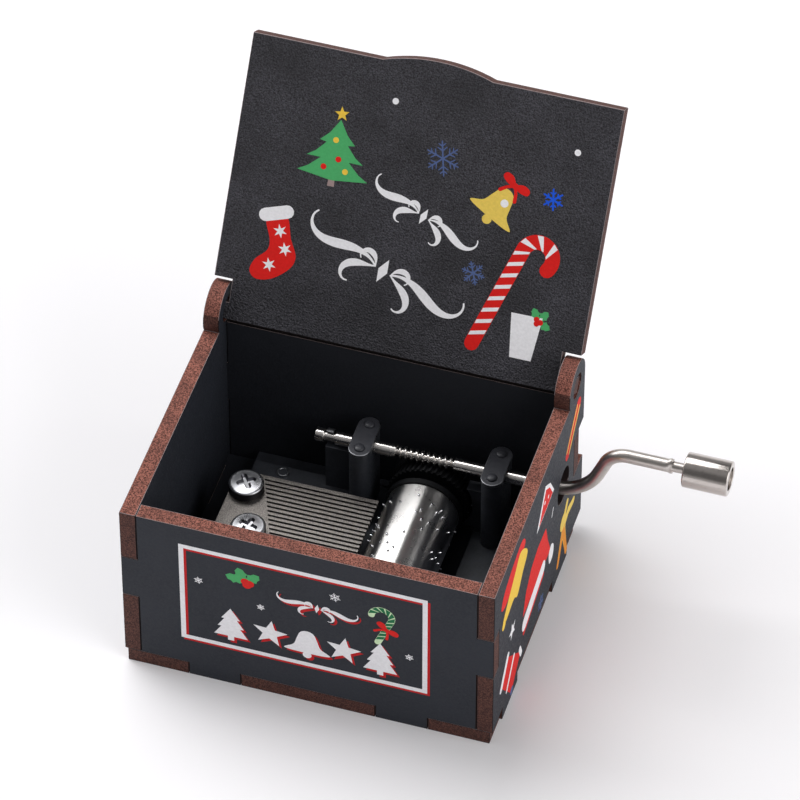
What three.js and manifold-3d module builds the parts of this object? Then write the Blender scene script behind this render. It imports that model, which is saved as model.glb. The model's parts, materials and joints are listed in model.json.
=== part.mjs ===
// Hand-crank music box: a finger-jointed wooden case with a hinged lid, and inside it an
// 18-note movement, in which a worm on the crank axle turns a pinned drum beside a steel comb.
// Millimetres, +X to the crank, +Y to the back, +Z up. Origin: centre of the base's underside.
import * as THREE from 'three';
import { mergeVertices } from 'three/addons/utils/BufferGeometryUtils.js';
import Module from 'manifold-3d';

const wasm = await Module();
wasm.setup();

// Case: boards of one thickness, with the movement against the rear and right-hand ones
const caseLength = 64;
const caseDepth = 50;
const wall = 2.8;
const kerf = 0.1;
const rimHeight = 36;
const leftRoom = 5.6;
const rightRoom = 5.2;
const rearRoom = 0.7;
const rearWing = 2.8;
const baseInset = 0.5;
const fingerWidth = 9;
const cornerFingerHeight = 20.9;
const bottomFingerSpacing = 32.5;
const footSpacing = 29.6;

// Lid and its hinge of square pegs in round holes
const lidThickness = 2.8;
const pegWidth = 2.9;
const pegGap = 0.285;
const pegRecess = 0.2;
const earWall = 2.4;
const lidSeatGap = 0.2;
const lidFrontInset = 0.6;
const lidTail = 1.5;
const lidShoulderGap = 0.8;
const lidSideGap = 0.4;
const lidStopGap = 0.25;
const lidOpenAngle = THREE.MathUtils.degToRad(123.3);
const lipWidth = 19;
const lipHeight = 1.5;

// Crank rod and worm
const rodRadius = 1.15;
const wormLength = 10.2;
const wormOffset = 1;
const wormPitch = 1;
const wormPitchRadius = 0.92;
const wormCrestInset = 0.03;
const wormDepth = 0.42;
const wormRelief = 0.35;
const wormCoreShare = 0.9;
const axleOverhang = 8.6;
const axleHeadLength = 1.6;
const neckRadius = 0.8;
const neckLength = 2;

// Crank arm and knob
const bendLeadIn = 2.2;
const lowerBendRadius = 8.7;
const upperBendRadius = 4.2;
const bendAngle = THREE.MathUtils.degToRad(68.2);
const crankThrow = 11.4;
const handleLength = 7.55;
const crankHoleRadius = 3.4;
const crankHoleRise = 0.8;
const crimpWidth = 0.7;
const crimpSpread = 3.1;
const crimpFlat = 1.6;
const spindleRadius = 0.9;
const knobRadius = 3;
const knobLength = 7.75;
const knobStandOff = 2.1;
const knobBoreGap = 0.15;
const knobRecessRadius = 2;
const knobRecessDepth = 0.9;
const knobChamfer = 0.25;
const peenedRadius = 1.4;
const peenedLength = 0.4;

// Worm wheel
const wheelTeeth = 44;
const toothClearance = 0.1;
const toothBacklash = 0.16;
const toothFlankShare = 0.33;
const wheelWidth = 4;
const wheelNeckRadius = 4.6;
const wheelNeckLength = 1.6;
const wheelGroundGap = 2.2;

// Drum and its bearings
const drumRadius = 6.3;
const drumTube = 0.8;
const pinHeight = 0.4;
const pinRadius = 0.2;
const beats = 60;
const bassEvery = 4;
const melodyTurns = 3;
const trillTurns = 11;
const trillShare = 0.4;
const plugLength = 1.5;
const plugFit = 0.1;
const flangeWidth = 1;
const flangeStep = 0.4;
const endCapFlange = 0.9;
const arborRadius = 0.95;
const arborChamfer = 0.25;
const arborGap = 0.12;
const bushingWall = 0.7;
const bushingFit = 0.05;
const endFloat = 0.35;

// Comb
const noteCount = 18;
const notePitch = 0.95;
const slotWidth = 0.38;
const toothThickness = 0.7;
const combThickness = 1.9;
const combMargin = 2.1;
const combStrip = 4.65;
const shortestToothShare = 0.667;
const combCorner = 3;
const tipGap = 0.6;
const combRise = 2.2;
const leadedTeeth = 8;
const leadLength = 3.2;
const leadDepth = 0.9;
const leadSetback = 0.9;

// Bedplate casting
const bedFloor = 3.2;
const bedMargin = 0.5;
const bedRightMargin = 1.85;
const bedFrontMargin = 0.65;
const bedRearMargin = 1.65;
const windowMargin = 0.7;
const lugThickness = 1.7;
const lugHalfWidth = 3.2;
const leftPostGap = 2.86;
const rightPostGap = 2.5;
const postHalfWidth = 1.8;
const postLength = 9;
const slotGap = 0.15;
const ribSetback = 1.2;
const ribAxleGap = 0.25;
const ribWheelGap = 0.5;
const rightRibHeight = 13.2;
const ledgeHeight = 6.2;
const ledgeInset = 1;
const pedestalInset = 0.8;
const bossRadius = 1;
const bossHeight = 0.4;
const bossInset = 6.4;
const bossSetback = 0.7;

// Axle clip, bearing caps and their rivets
const clipGap = 0.2;
const clipThickness = 0.4;
const clipWidth = 1.2;
const clipFloat = 0.4;
const clipLeg = 2;
const clipWrap = THREE.MathUtils.degToRad(100);
const capRim = 0.15;
const capThickness = 0.6;
const rivetSpacing = 5.7;
const rivetHeadRadius = 0.95;
const rivetHeadHeight = 0.5;
const rivetRadius = 0.5;
const rivetLength = 2.2;

// Screws
const fastenerGap = 0.12;
const combScrewHead = 3;
const combScrewHeadHeight = 2.1;
const combScrewRadius = 1.2;
const combScrewLength = 5;
const rearScrewRootGap = 3.5;
const rearScrewSetback = 3.95;
const rearScrewTurn = 35;
const frontScrewRootGap = 3.8;
const frontScrewSetback = 13.3;
const frontScrewTurn = 75;
const crossLength = 3.9;
const crossWidth = 0.8;
const crossDepth = 0.8;
const bedScrewHead = 1.9;
const bedScrewRadius = 0.95;
const bedScrewRecess = 0.2;
const bedScrewBite = 2.4;
const bedScrewInset = 3.6;
const bedScrewSetback = 2.8;

const overrun = 1;
const weld = 1e-4;

// Worm gearing, worked out from the pitch
const wheelPitchRadius = wheelTeeth * wormPitch / (2 * Math.PI);
const wormCrest = rodRadius - wormCrestInset;
const wormRoot = wormCrest - wormDepth;
const centreDistance = wheelPitchRadius + wormPitchRadius;
const wheelCrest = centreDistance - wormRoot - toothClearance;
const wheelRoot = centreDistance - wormCrest - toothClearance;

// Heights
const bedBottom = wall;
const floorTop = bedBottom + bedFloor;
const ledgeTop = bedBottom + ledgeHeight;
const drumHeight = wall + wheelGroundGap + wheelCrest;
const axleHeight = drumHeight + centreDistance;
const slotRadius = rodRadius + slotGap;
const postTop = axleHeight + slotRadius;
const capTop = postTop + capThickness;
const combTop = drumHeight + combRise;
const toothBottom = combTop - toothThickness;
const combBottom = combTop - combThickness;
const handleHeight = axleHeight + crankThrow;

// Places along X, from the two side boards inwards
const pinTip = drumRadius + pinHeight;
const tipReach = Math.sqrt((pinTip + tipGap) ** 2 - (toothBottom - drumHeight) ** 2);
const rightPostReach = wheelCrest + rightPostGap + postHalfWidth;
const leftPostReach = wheelCrest + leftPostGap + postHalfWidth;
const bedRightReach = rightPostReach + postHalfWidth + bedRightMargin;
const halfLength = caseLength / 2;
const innerHalf = halfLength - wall;
const bedRight = innerHalf - rightRoom;
const bedLeft = leftRoom - innerHalf;
const drumCentre = bedRight - bedRightReach;
const postCentreLeft = drumCentre - leftPostReach;
const postCentreRight = drumCentre + rightPostReach;
const tipX = drumCentre - tipReach;
const combLeftEdge = bedLeft + bedMargin;
const longestTooth = tipX - combStrip - combLeftEdge;
const axleLeftEnd = postCentreLeft - axleOverhang;
const neckLeft = axleLeftEnd + axleHeadLength;
const clipLeft = neckLeft + clipFloat;
const wormLeft = drumCentre - wormOffset - wormLength / 2;
const bendStart = halfLength - bendLeadIn;

// Places along Y, from the rear board forwards
const drumStack = wheelWidth + wheelNeckLength + flangeWidth + combMargin
  + (noteCount + 1 / 2) * notePitch + endCapFlange;
const bedDepth = bedRearMargin + bedFrontMargin + 2 * (lugThickness + endFloat) + drumStack;
const frontFace = -caseDepth / 2;
const rearFace = caseDepth / 2;
const bedRear = rearFace - wall - rearRoom;
const bedFront = bedRear - bedDepth;
const rearLugRear = bedRear - bedRearMargin;
const rearLugFront = rearLugRear - lugThickness;
const wheelRear = rearLugFront - endFloat;
const wheelFront = wheelRear - wheelWidth;
const axleDepth = (wheelFront + wheelRear) / 2;
const flangeRear = wheelFront - wheelNeckLength;
const drumRear = flangeRear - flangeWidth;
const combRearEdge = drumRear - combMargin;
const combFrontEdge = combRearEdge - noteCount * notePitch;
const drumFront = combFrontEdge - notePitch / 2;
const endCapFront = drumFront - endCapFlange;
const frontLugRear = endCapFront - endFloat;
const frontLugFront = frontLugRear - lugThickness;
const clipInner = neckRadius + clipGap;
const ribFront = axleDepth - ribSetback;
const ribRear = axleDepth + clipInner;

// Hinge
const hingeHoleRadius = Math.hypot(pegWidth, lidThickness) / 2 + pegGap;
const earRadius = hingeHoleRadius + earWall;
const pivotY = rearFace + rearWing - earRadius;
const pivotZ = rimHeight + lidSeatGap + lidThickness / 2;

// Turns a closed geometry into a solid, with its faces pointing out.
function solid(geometry) {
  const bare = new THREE.BufferGeometry();
  bare.setAttribute('position', geometry.getAttribute('position').clone());
  if (geometry.index) bare.setIndex(geometry.index.clone());
  const merged = mergeVertices(bare, weld);
  const position = merged.getAttribute('position');
  const corner = [new THREE.Vector3(), new THREE.Vector3(), new THREE.Vector3()];
  const triangles = [];
  let volume = 0;
  for (let i = 0; i < merged.index.count; i += corner.length) {
    const ids = corner.map((_, k) => merged.index.getX(i + k));
    if (new Set(ids).size < corner.length) continue;
    ids.forEach((id, k) => corner[k].fromBufferAttribute(position, id));
    volume += corner[0].dot(corner[1].clone().cross(corner[2]));
    triangles.push(ids);
  }
  const order = volume > 0 ? [0, 1, 2] : [0, 2, 1];
  const triVerts = new Uint32Array(triangles.flatMap((ids) => order.map((k) => ids[k])));
  const vertProperties = new Float32Array(position.array);
  return new wasm.Manifold(new wasm.Mesh({ numProp: 3, vertProperties, triVerts }));
}

function toGeometry(body) {
  const mesh = body.getMesh();
  const geometry = new THREE.BufferGeometry();
  geometry.setAttribute('position', new THREE.BufferAttribute(new Float32Array(mesh.vertProperties), 3));
  geometry.setIndex(new THREE.BufferAttribute(new Uint32Array(mesh.triVerts), 1));
  geometry.computeVertexNormals();
  return geometry;
}

// Frames for drawing across an axis: as (y, z) for x, (x, z) for y and (x, y) for z.
const frames = {
  x: new THREE.Matrix4().set(0, 0, 1, 0, 1, 0, 0, 0, 0, 1, 0, 0, 0, 0, 0, 1),
  y: new THREE.Matrix4().set(1, 0, 0, 0, 0, 0, -1, 0, 0, 1, 0, 0, 0, 0, 0, 1),
  z: new THREE.Matrix4(),
};

function slab(shape, axis, from, to, curveSegments = 6) {
  const depth = to - from;
  const geometry = new THREE.ExtrudeGeometry(shape, { depth, bevelEnabled: false, curveSegments });
  geometry.applyMatrix4(frames[axis]);
  if (axis === 'x') geometry.translate(from, 0, 0);
  if (axis === 'y') geometry.translate(0, to, 0);
  if (axis === 'z') geometry.translate(0, 0, from);
  return solid(geometry);
}

// A profile of [radius, place along the axis] turned round an axis; a and b are the axis's
// place as (y, z) for x, (x, z) for y and (x, y) for z.
function turned(profile, axis, a, b, segments = 24) {
  const points = profile.map(([radius, along]) => new THREE.Vector2(radius, along));
  const geometry = new THREE.LatheGeometry(points, segments);
  if (axis === 'x') {
    geometry.rotateZ(-Math.PI / 2);
    geometry.translate(0, a, b);
  }
  if (axis === 'y') geometry.translate(a, 0, b);
  if (axis === 'z') {
    geometry.rotateX(Math.PI / 2);
    geometry.translate(a, b, 0);
  }
  return solid(geometry);
}

function rod(radius, axis, from, to, a, b, segments = 24) {
  return turned([[0, from], [radius, from], [radius, to], [0, to]], axis, a, b, segments);
}

function polygon(points) {
  return new THREE.Shape(points.map(([u, v]) => new THREE.Vector2(u, v)));
}

function box(x0, x1, y0, y1, z0, z1) {
  return slab(polygon([[x0, y0], [x1, y0], [x1, y1], [x0, y1]]), 'z', z0, z1);
}

function roundHole(u, v, radius) {
  const hole = new THREE.Path();
  hole.absarc(u, v, radius, 0, 2 * Math.PI, true);
  return hole;
}

// A long shape with two round ends, standing along v.
function oval(u, v, halfWidth, length) {
  const straight = length / 2 - halfWidth;
  const shape = new THREE.Shape();
  shape.absarc(u, v + straight, halfWidth, 0, Math.PI, false);
  shape.absarc(u, v - straight, halfWidth, Math.PI, 2 * Math.PI, false);
  shape.closePath();
  return shape;
}

function union(solids) {
  return solids.reduce((all, next) => all.add(next));
}

function cut(body, tools) {
  return tools.reduce((left, tool) => left.subtract(tool), body);
}

// Case panels

// The front or back panel: plain ends inside the sides, a finger out through each side, and
// two fingers down through the base.
function endPanel(from, to, top) {
  const end = innerHalf - kerf;
  const low = cornerFingerHeight - fingerWidth / 2;
  const high = cornerFingerHeight + fingerWidth / 2;
  const near = bottomFingerSpacing / 2 - fingerWidth / 2;
  const far = bottomFingerSpacing / 2 + fingerWidth / 2;
  return slab(polygon([
    [-end, wall], [-far, wall], [-far, 0], [-near, 0], [-near, wall],
    [near, wall], [near, 0], [far, 0], [far, wall], [end, wall],
    [end, low], [halfLength, low], [halfLength, high], [end, high], [end, top],
    [-end, top], [-end, high], [-halfLength, high], [-halfLength, low], [-end, low],
  ]), 'y', from, to);
}

function frontPanel() {
  return endPanel(frontFace, frontFace + wall, rimHeight);
}

// The back panel ends just below the corner of the lid's tail, which stops the open lid.
function backPanel() {
  const top = pivotZ - Math.hypot(lidThickness / 2, lidTail) - lidStopGap;
  return endPanel(rearFace - wall, rearFace, top);
}

function sidePanelShape() {
  const rear = rearFace + rearWing;
  const rootY = pivotY - Math.sqrt(earRadius ** 2 - (pivotZ - rimHeight) ** 2);
  const rootAngle = Math.atan2(rimHeight - pivotZ, rootY - pivotY);
  const low = cornerFingerHeight - fingerWidth / 2 - kerf;
  const high = cornerFingerHeight + fingerWidth / 2 + kerf;
  const frontNotch = frontFace + wall + kerf;
  const rearNotch = rearFace - wall - kerf;
  const near = footSpacing / 2 - fingerWidth / 2;
  const far = footSpacing / 2 + fingerWidth / 2;
  const shape = polygon([
    [frontFace, wall], [-far, wall], [-far, 0], [-near, 0], [-near, wall],
    [near, wall], [near, 0], [far, 0], [far, wall], [rear, wall],
    [rear, low], [rearNotch, low], [rearNotch, high], [rear, high]]);
  shape.absarc(pivotY, pivotZ, earRadius, 0, rootAngle, false);
  shape.lineTo(frontFace, rimHeight);
  shape.lineTo(frontFace, high);
  shape.lineTo(frontNotch, high);
  shape.lineTo(frontNotch, low);
  shape.lineTo(frontFace, low);
  shape.holes.push(roundHole(pivotY, pivotZ, hingeHoleRadius));
  return shape;
}

function leftSidePanel() {
  return slab(sidePanelShape(), 'x', -halfLength, -innerHalf, 16);
}

function rightSidePanel() {
  const shape = sidePanelShape();
  shape.holes.push(roundHole(axleDepth, axleHeight + crankHoleRise, crankHoleRadius));
  return slab(shape, 'x', innerHalf, halfLength, 16);
}

function bedScrewPlaces() {
  return {
    rear_left: [bedLeft + bedScrewInset, bedRear - bedScrewSetback],
    rear_right: [bedRight - bedScrewInset, bedRear - bedScrewSetback],
    front_right: [bedRight - bedScrewInset, bedFront + bedScrewInset],
  };
}

function basePanel() {
  const half = halfLength - baseInset;
  const slot = fingerWidth / 2 + kerf;
  const inner = innerHalf - kerf;
  const cuts = [];
  for (const side of [-1, 1]) {
    const x = side * bottomFingerSpacing / 2;
    const y = side * footSpacing / 2;
    const top = wall + overrun;
    cuts.push(box(x - slot, x + slot, frontFace - overrun, frontFace + wall + kerf, -overrun, top));
    cuts.push(box(x - slot, x + slot, rearFace - wall - kerf, rearFace + overrun, -overrun, top));
    cuts.push(box(inner, halfLength, y - slot, y + slot, -overrun, top));
    cuts.push(box(-halfLength, -inner, y - slot, y + slot, -overrun, top));
  }
  for (const [x, y] of Object.values(bedScrewPlaces())) {
    const head = bedScrewHead + fastenerGap;
    const shank = bedScrewRadius + fastenerGap;
    const shoulder = bedScrewRecess + fastenerGap;
    cuts.push(turned([
      [0, -overrun], [head, -overrun], [head, shoulder], [shank, shoulder + head - shank],
      [shank, wall + overrun], [0, wall + overrun]], 'z', x, y, 20));
  }
  return cut(box(-half, half, frontFace, rearFace, 0, wall), cuts);
}

// Lid: one board whose narrow tail turns between the ears on two square pegs. It is drawn
// closed, with the hinge axis at the origin and the free edge towards -Y.
function lidPanel() {
  const shoulder = -(earRadius + lidShoulderGap);
  const narrow = innerHalf - lidSideGap;
  const peg = halfLength - pegRecess;
  const pegHalf = pegWidth / 2;
  const free = frontFace + lidFrontInset - pivotY;
  const lipHalf = lipWidth / 2;
  const lipRadius = (lipHeight ** 2 + lipHalf ** 2) / (2 * lipHeight);
  const lipAngle = Math.asin(lipHalf / lipRadius);
  const down = -Math.PI / 2;
  const shape = polygon([
    [halfLength, shoulder], [narrow, shoulder], [narrow, -pegHalf], [peg, -pegHalf], [peg, pegHalf],
    [narrow, pegHalf], [narrow, lidTail], [-narrow, lidTail], [-narrow, pegHalf], [-peg, pegHalf],
    [-peg, -pegHalf], [-narrow, -pegHalf], [-narrow, shoulder], [-halfLength, shoulder],
    [-halfLength, free], [-lipHalf, free]]);
  shape.absarc(0, free - lipHeight + lipRadius, lipRadius, down - lipAngle, down + lipAngle, false);
  shape.lineTo(halfLength, free);
  return slab(shape, 'z', -lidThickness / 2, lidThickness / 2, 8);
}

// Movement frame

// The comb's slots end on a slanted line, so the low notes have the longest teeth.
function rootX(y) {
  const share = (combRearEdge - y) / (combRearEdge - combFrontEdge);
  return tipX - longestTooth * (1 - share * (1 - shortestToothShare));
}

// The outline of the comb's thick strip, its right edge set back from the roots.
function stripShape(setback) {
  return polygon([
    [combLeftEdge, combFrontEdge], [rootX(combFrontEdge) - setback, combFrontEdge],
    [rootX(combRearEdge) - setback, combRearEdge], [combLeftEdge + combCorner, combRearEdge],
    [combLeftEdge, combRearEdge - combCorner]]);
}

function combScrewPlaces() {
  const rear = combRearEdge - rearScrewSetback;
  const front = combRearEdge - frontScrewSetback;
  return {
    rear: [rootX(rear) - rearScrewRootGap, rear, rearScrewTurn],
    front: [rootX(front) - frontScrewRootGap, front, frontScrewTurn],
  };
}

function lug(from, to) {
  const shape = polygon([
    [drumCentre - lugHalfWidth, bedBottom], [drumCentre + lugHalfWidth, bedBottom]]);
  shape.absarc(drumCentre, drumHeight, lugHalfWidth, 0, Math.PI, false);
  return slab(shape, 'y', from, to, 8);
}

function bedplate() {
  const windowHalf = wheelCrest + windowMargin;
  const ledgeLeft = bedLeft + ledgeInset;
  const bossX = bedLeft + bossInset;
  const bossY = axleDepth - bossSetback;
  const leftRibTop = axleHeight - rodRadius - ribAxleGap;
  const windowRear = rearLugFront - kerf;
  const parts = [
    box(bedLeft, bedRight, bedFront, bedRear, bedBottom, floorTop),
    box(ledgeLeft, postCentreLeft, combRearEdge - overrun, ribRear, bedBottom, ledgeTop),
    box(drumCentre + windowHalf, bedRight, ribFront, rearLugFront, bedBottom, ledgeTop),
    rod(bossRadius, 'z', bedBottom, ledgeTop + bossHeight, bossX, bossY, 16),
    slab(stripShape(pedestalInset), 'z', bedBottom, combBottom),
    box(clipLeft, postCentreLeft, ribFront, ribRear, bedBottom, leftRibTop),
    box(drumCentre, postCentreRight, ribFront, ribRear, bedBottom, bedBottom + rightRibHeight),
    lug(frontLugFront, frontLugRear),
    lug(rearLugFront, rearLugRear),
  ];
  const cuts = [
    box(drumCentre - windowHalf, drumCentre + windowHalf, frontLugRear + kerf, windowRear,
      bedBottom - overrun, floorTop + overrun),
    rod(wheelCrest + ribWheelGap, 'y', ribFront - overrun, windowRear, drumCentre, drumHeight, 40),
    rod(bushingOuter() + bushingFit, 'y', bedFront - overrun, bedRear + overrun, drumCentre, drumHeight),
  ];
  for (const x of [postCentreLeft, postCentreRight]) {
    const from = x - postHalfWidth - overrun;
    const to = x + postHalfWidth + overrun;
    const hole = rivetRadius + fastenerGap;
    const holeBottom = postTop - rivetLength - fastenerGap;
    parts.push(slab(oval(x, axleDepth, postHalfWidth, postLength), 'z', bedBottom, postTop));
    cuts.push(rod(slotRadius, 'x', from, to, axleDepth, axleHeight, 20));
    cuts.push(box(from, to, axleDepth - slotRadius, axleDepth + slotRadius, axleHeight, postTop + overrun));
    for (const side of [-1, 1]) {
      const y = axleDepth + side * rivetSpacing / 2;
      cuts.push(rod(hole, 'z', holeBottom, postTop + overrun, x, y, 10));
    }
  }
  for (const [x, y] of Object.values(combScrewPlaces())) {
    const hole = combScrewRadius + fastenerGap;
    cuts.push(rod(hole, 'z', combTop - combScrewLength - fastenerGap, combTop, x, y, 14));
  }
  for (const [x, y] of Object.values(bedScrewPlaces())) {
    const hole = bedScrewRadius + fastenerGap;
    cuts.push(rod(hole, 'z', bedBottom - overrun, bedBottom + bedScrewBite + fastenerGap, x, y, 12));
  }
  return cut(union(parts), cuts);
}

// Comb: a thick strip under two screws, with a row of thin teeth cut towards the drum. The
// longest teeth carry lead under their tips.
function comb() {
  const gap = slotWidth / 2;
  const outline = [
    [combLeftEdge, combFrontEdge], [combLeftEdge, combRearEdge - combCorner],
    [combLeftEdge + combCorner, combRearEdge]];
  const leads = [];
  for (let note = 0; note < noteCount; note += 1) {
    const rear = combRearEdge - note * notePitch - (note > 0 ? gap : 0);
    const front = combRearEdge - (note + 1) * notePitch + (note < noteCount - 1 ? gap : 0);
    if (note > 0) outline.push([rootX(rear), rear]);
    outline.push([tipX, rear], [tipX, front]);
    if (note < noteCount - 1) outline.push([rootX(front), front]);
    if (note < leadedTeeth) {
      const length = leadLength * (1 - note / leadedTeeth / 2);
      const to = tipX - leadSetback;
      const centre = combRearEdge - (note + 1 / 2) * notePitch;
      const half = notePitch / 2 - gap;
      leads.push(box(to - length, to, centre - half, centre + half, toothBottom - leadDepth, combTop));
    }
  }
  const holes = Object.values(combScrewPlaces()).map(([x, y]) =>
    rod(combScrewRadius + fastenerGap, 'z', combBottom - overrun, combTop + overrun, x, y, 16));
  const teeth = slab(polygon(outline), 'z', toothBottom, combTop);
  const strip = slab(stripShape(slotWidth), 'z', combBottom, combTop);
  return cut(union([strip, teeth, ...leads]), holes);
}

// A pan-head screw with a cross recess, its head on the comb.
function combScrew([x, y, turn]) {
  const top = combTop + combScrewHeadHeight;
  const shoulder = combTop + combScrewHeadHeight * 2 / 3;
  const crown = combScrewHead * 3 / 4;
  const bottom = combTop - combScrewLength;
  const body = turned([
    [0, bottom], [combScrewRadius, bottom], [combScrewRadius, combTop], [combScrewHead, combTop],
    [combScrewHead, shoulder], [(combScrewHead + crown) / 2, (top + shoulder) / 2],
    [crown, top - crossDepth / 4], [0, top]], 'z', x, y, 28);
  const arm = box(-crossLength / 2, crossLength / 2, -crossWidth / 2, crossWidth / 2,
    top - crossDepth, top + overrun);
  const arms = [turn, turn + 90].map((angle) => arm.rotate([0, 0, angle]).translate([x, y, 0]));
  return cut(body, arms);
}

// A slotted countersunk screw, driven up through the base into the bedplate.
function bedScrew([x, y]) {
  const tip = bedBottom + bedScrewBite;
  const slotHalf = bedScrewHead / 5;
  const slotTop = bedScrewRecess + bedScrewHead / 4;
  const body = turned([
    [0, bedScrewRecess], [bedScrewHead, bedScrewRecess],
    [bedScrewRadius, bedScrewRecess + bedScrewHead - bedScrewRadius],
    [bedScrewRadius, tip], [0, tip]], 'z', x, y, 20);
  return body.subtract(box(x - bedScrewHead, x + bedScrewHead, y - slotHalf, y + slotHalf, 0, slotTop));
}

function bearingCap(x) {
  const shape = oval(x, axleDepth, postHalfWidth + capRim, postLength + 2 * capRim);
  const holes = [-1, 1].map((side) => rod(rivetRadius + fastenerGap, 'z', postTop - overrun,
    capTop + overrun, x, axleDepth + side * rivetSpacing / 2, 10));
  return cut(slab(shape, 'z', postTop, capTop, 7), holes);
}

function capRivet(x, side) {
  const bottom = postTop - rivetLength;
  const profile = [[0, bottom], [rivetRadius, bottom], [rivetRadius, capTop], [rivetHeadRadius, capTop]];
  const steps = 3;
  for (let i = 1; i < steps; i += 1) {
    const angle = i / steps * Math.PI / 2;
    profile.push([rivetHeadRadius * Math.cos(angle), capTop + rivetHeadHeight * Math.sin(angle)]);
  }
  profile.push([0, capTop + rivetHeadHeight]);
  return turned(profile, 'z', x, axleDepth + side * rivetSpacing / 2, 14);
}

// A hooked strip on the rib's rear face, which passes behind the axle's neck and over it.
function axleClip() {
  const outer = clipInner + clipThickness;
  const bottom = axleHeight - rodRadius - ribAxleGap - clipLeg;
  const shape = polygon([[axleDepth + clipInner, bottom], [axleDepth + outer, bottom]]);
  shape.absarc(axleDepth, axleHeight, outer, 0, clipWrap, false);
  shape.absarc(axleDepth, axleHeight, clipInner, clipWrap, 0, true);
  return slab(shape, 'x', clipLeft, clipLeft + clipWidth, 5);
}

// Drum, turning about an axis along Y through (drumCentre, drumHeight)

function drumRod(radius, from, to, segments) {
  return rod(radius, 'y', from, to, drumCentre, drumHeight, segments);
}

function ring(outer, inner, from, to, segments = 32) {
  const profile = [[inner, from], [outer, from], [outer, to], [inner, to], [inner, from]];
  return turned(profile, 'y', drumCentre, drumHeight, segments);
}

function plugRadius() {
  return drumRadius - drumTube - plugFit;
}

function bushingOuter() {
  return arborRadius + arborGap + bushingWall;
}

// The pins of one beat: a melody that winds up and down the comb, and a bass note now and then.
function notesAt(beat) {
  const turn = 2 * Math.PI * beat / beats;
  const swing = Math.sin(melodyTurns * turn) * (1 - trillShare) + Math.sin(trillTurns * turn) * trillShare;
  const notes = [Math.round((noteCount - 1) * (1 - swing) / 2)];
  if (beat % bassEvery === 0) notes.push((beat / bassEvery) % bassEvery);
  return new Set(notes);
}

function pinDrum() {
  const pin = rod(pinRadius, 'z', drumRadius - drumTube / 2, pinTip, 0, 0, 5);
  const pins = [];
  for (let beat = 0; beat < beats; beat += 1) {
    const upright = pin.rotate([0, 360 * beat / beats, 0]);
    for (const note of notesAt(beat)) {
      const y = combRearEdge - (note + 1 / 2) * notePitch;
      pins.push(upright.translate([drumCentre, y, drumHeight]));
    }
  }
  return union([ring(drumRadius, drumRadius - drumTube, drumFront, drumRear, 48), ...pins]);
}

function drumEndCap() {
  const bore = arborRadius + arborGap;
  const flange = ring(drumRadius, bore, endCapFront, drumFront);
  return flange.add(ring(plugRadius(), bore, drumFront - kerf, drumFront + plugLength));
}

// The wheel's teeth lean like the worm's thread where the two meet, and a gap between teeth
// sits at the very top, under the thread that crosses above the drum's axis.
function wormWheel() {
  const step = 2 * Math.PI / wheelTeeth;
  const pitchGap = (wormPitch + toothBacklash) / wheelPitchRadius / 4;
  const lift = (wheelCrest - wheelPitchRadius) / wheelPitchRadius * toothFlankShare;
  const drop = (wheelPitchRadius - wheelRoot) / wheelPitchRadius * toothFlankShare;
  const points = [];
  for (let tooth = 0; tooth < wheelTeeth; tooth += 1) {
    const gap = Math.PI / 2 + tooth * step;
    const corners = [
      [wheelRoot, gap - pitchGap + drop], [wheelRoot, gap + pitchGap - drop],
      [wheelCrest, gap + pitchGap + lift], [wheelCrest, gap + step - pitchGap - lift]];
    corners.forEach(([radius, angle]) => points.push([radius * Math.cos(angle), radius * Math.sin(angle)]));
  }
  const geometry = new THREE.ExtrudeGeometry(polygon(points),
    { depth: wheelWidth, bevelEnabled: false, steps: 3 });
  geometry.translate(0, 0, -wheelWidth / 2);
  const lean = wormPitch / (2 * Math.PI * wormPitchRadius) / wheelPitchRadius;
  const axis = new THREE.Vector3(0, 0, 1);
  const point = new THREE.Vector3();
  const position = geometry.getAttribute('position');
  for (let i = 0; i < position.count; i += 1) {
    point.fromBufferAttribute(position, i);
    point.applyAxisAngle(axis, point.z * lean);
    position.setXYZ(i, point.x, point.y, point.z);
  }
  geometry.applyMatrix4(frames.y);
  geometry.translate(drumCentre, axleDepth, drumHeight);
  const hub = union([
    drumRod(plugRadius(), drumRear - plugLength, drumRear + kerf, 32),
    drumRod(drumRadius + flangeStep, drumRear, flangeRear, 36),
    drumRod(wheelNeckRadius, flangeRear - kerf, wheelFront + kerf, 32)]);
  const bore = drumRod(arborRadius + arborGap, drumRear - plugLength - overrun, wheelRear + overrun, 32);
  return solid(geometry).add(hub).subtract(bore);
}

function drumArbor() {
  const end = arborRadius - arborChamfer;
  return turned([
    [0, frontLugFront], [end, frontLugFront], [arborRadius, frontLugFront + arborChamfer],
    [arborRadius, rearLugRear - arborChamfer], [end, rearLugRear], [0, rearLugRear],
  ], 'y', drumCentre, drumHeight, 20);
}

function bushing(from, to) {
  return ring(bushingOuter(), arborRadius + arborGap, from, to, 24);
}

// Crank: one rod, from its headed left end through the worm and the side panel to the bent
// arm and the knob's spindle.

// A path through stations, each a point and the direction in which the rod runs there.
class StationPath extends THREE.Curve {
  constructor(stations) {
    super();
    this.stations = stations;
  }

  getUtoTmapping(u) {
    return u;
  }

  station(t) {
    return this.stations[Math.round(t * (this.stations.length - 1))];
  }

  getPoint(t, target = new THREE.Vector3()) {
    return target.copy(this.station(t).point);
  }

  getTangent(t, target = new THREE.Vector3()) {
    return target.copy(this.station(t).tangent);
  }
}

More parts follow.
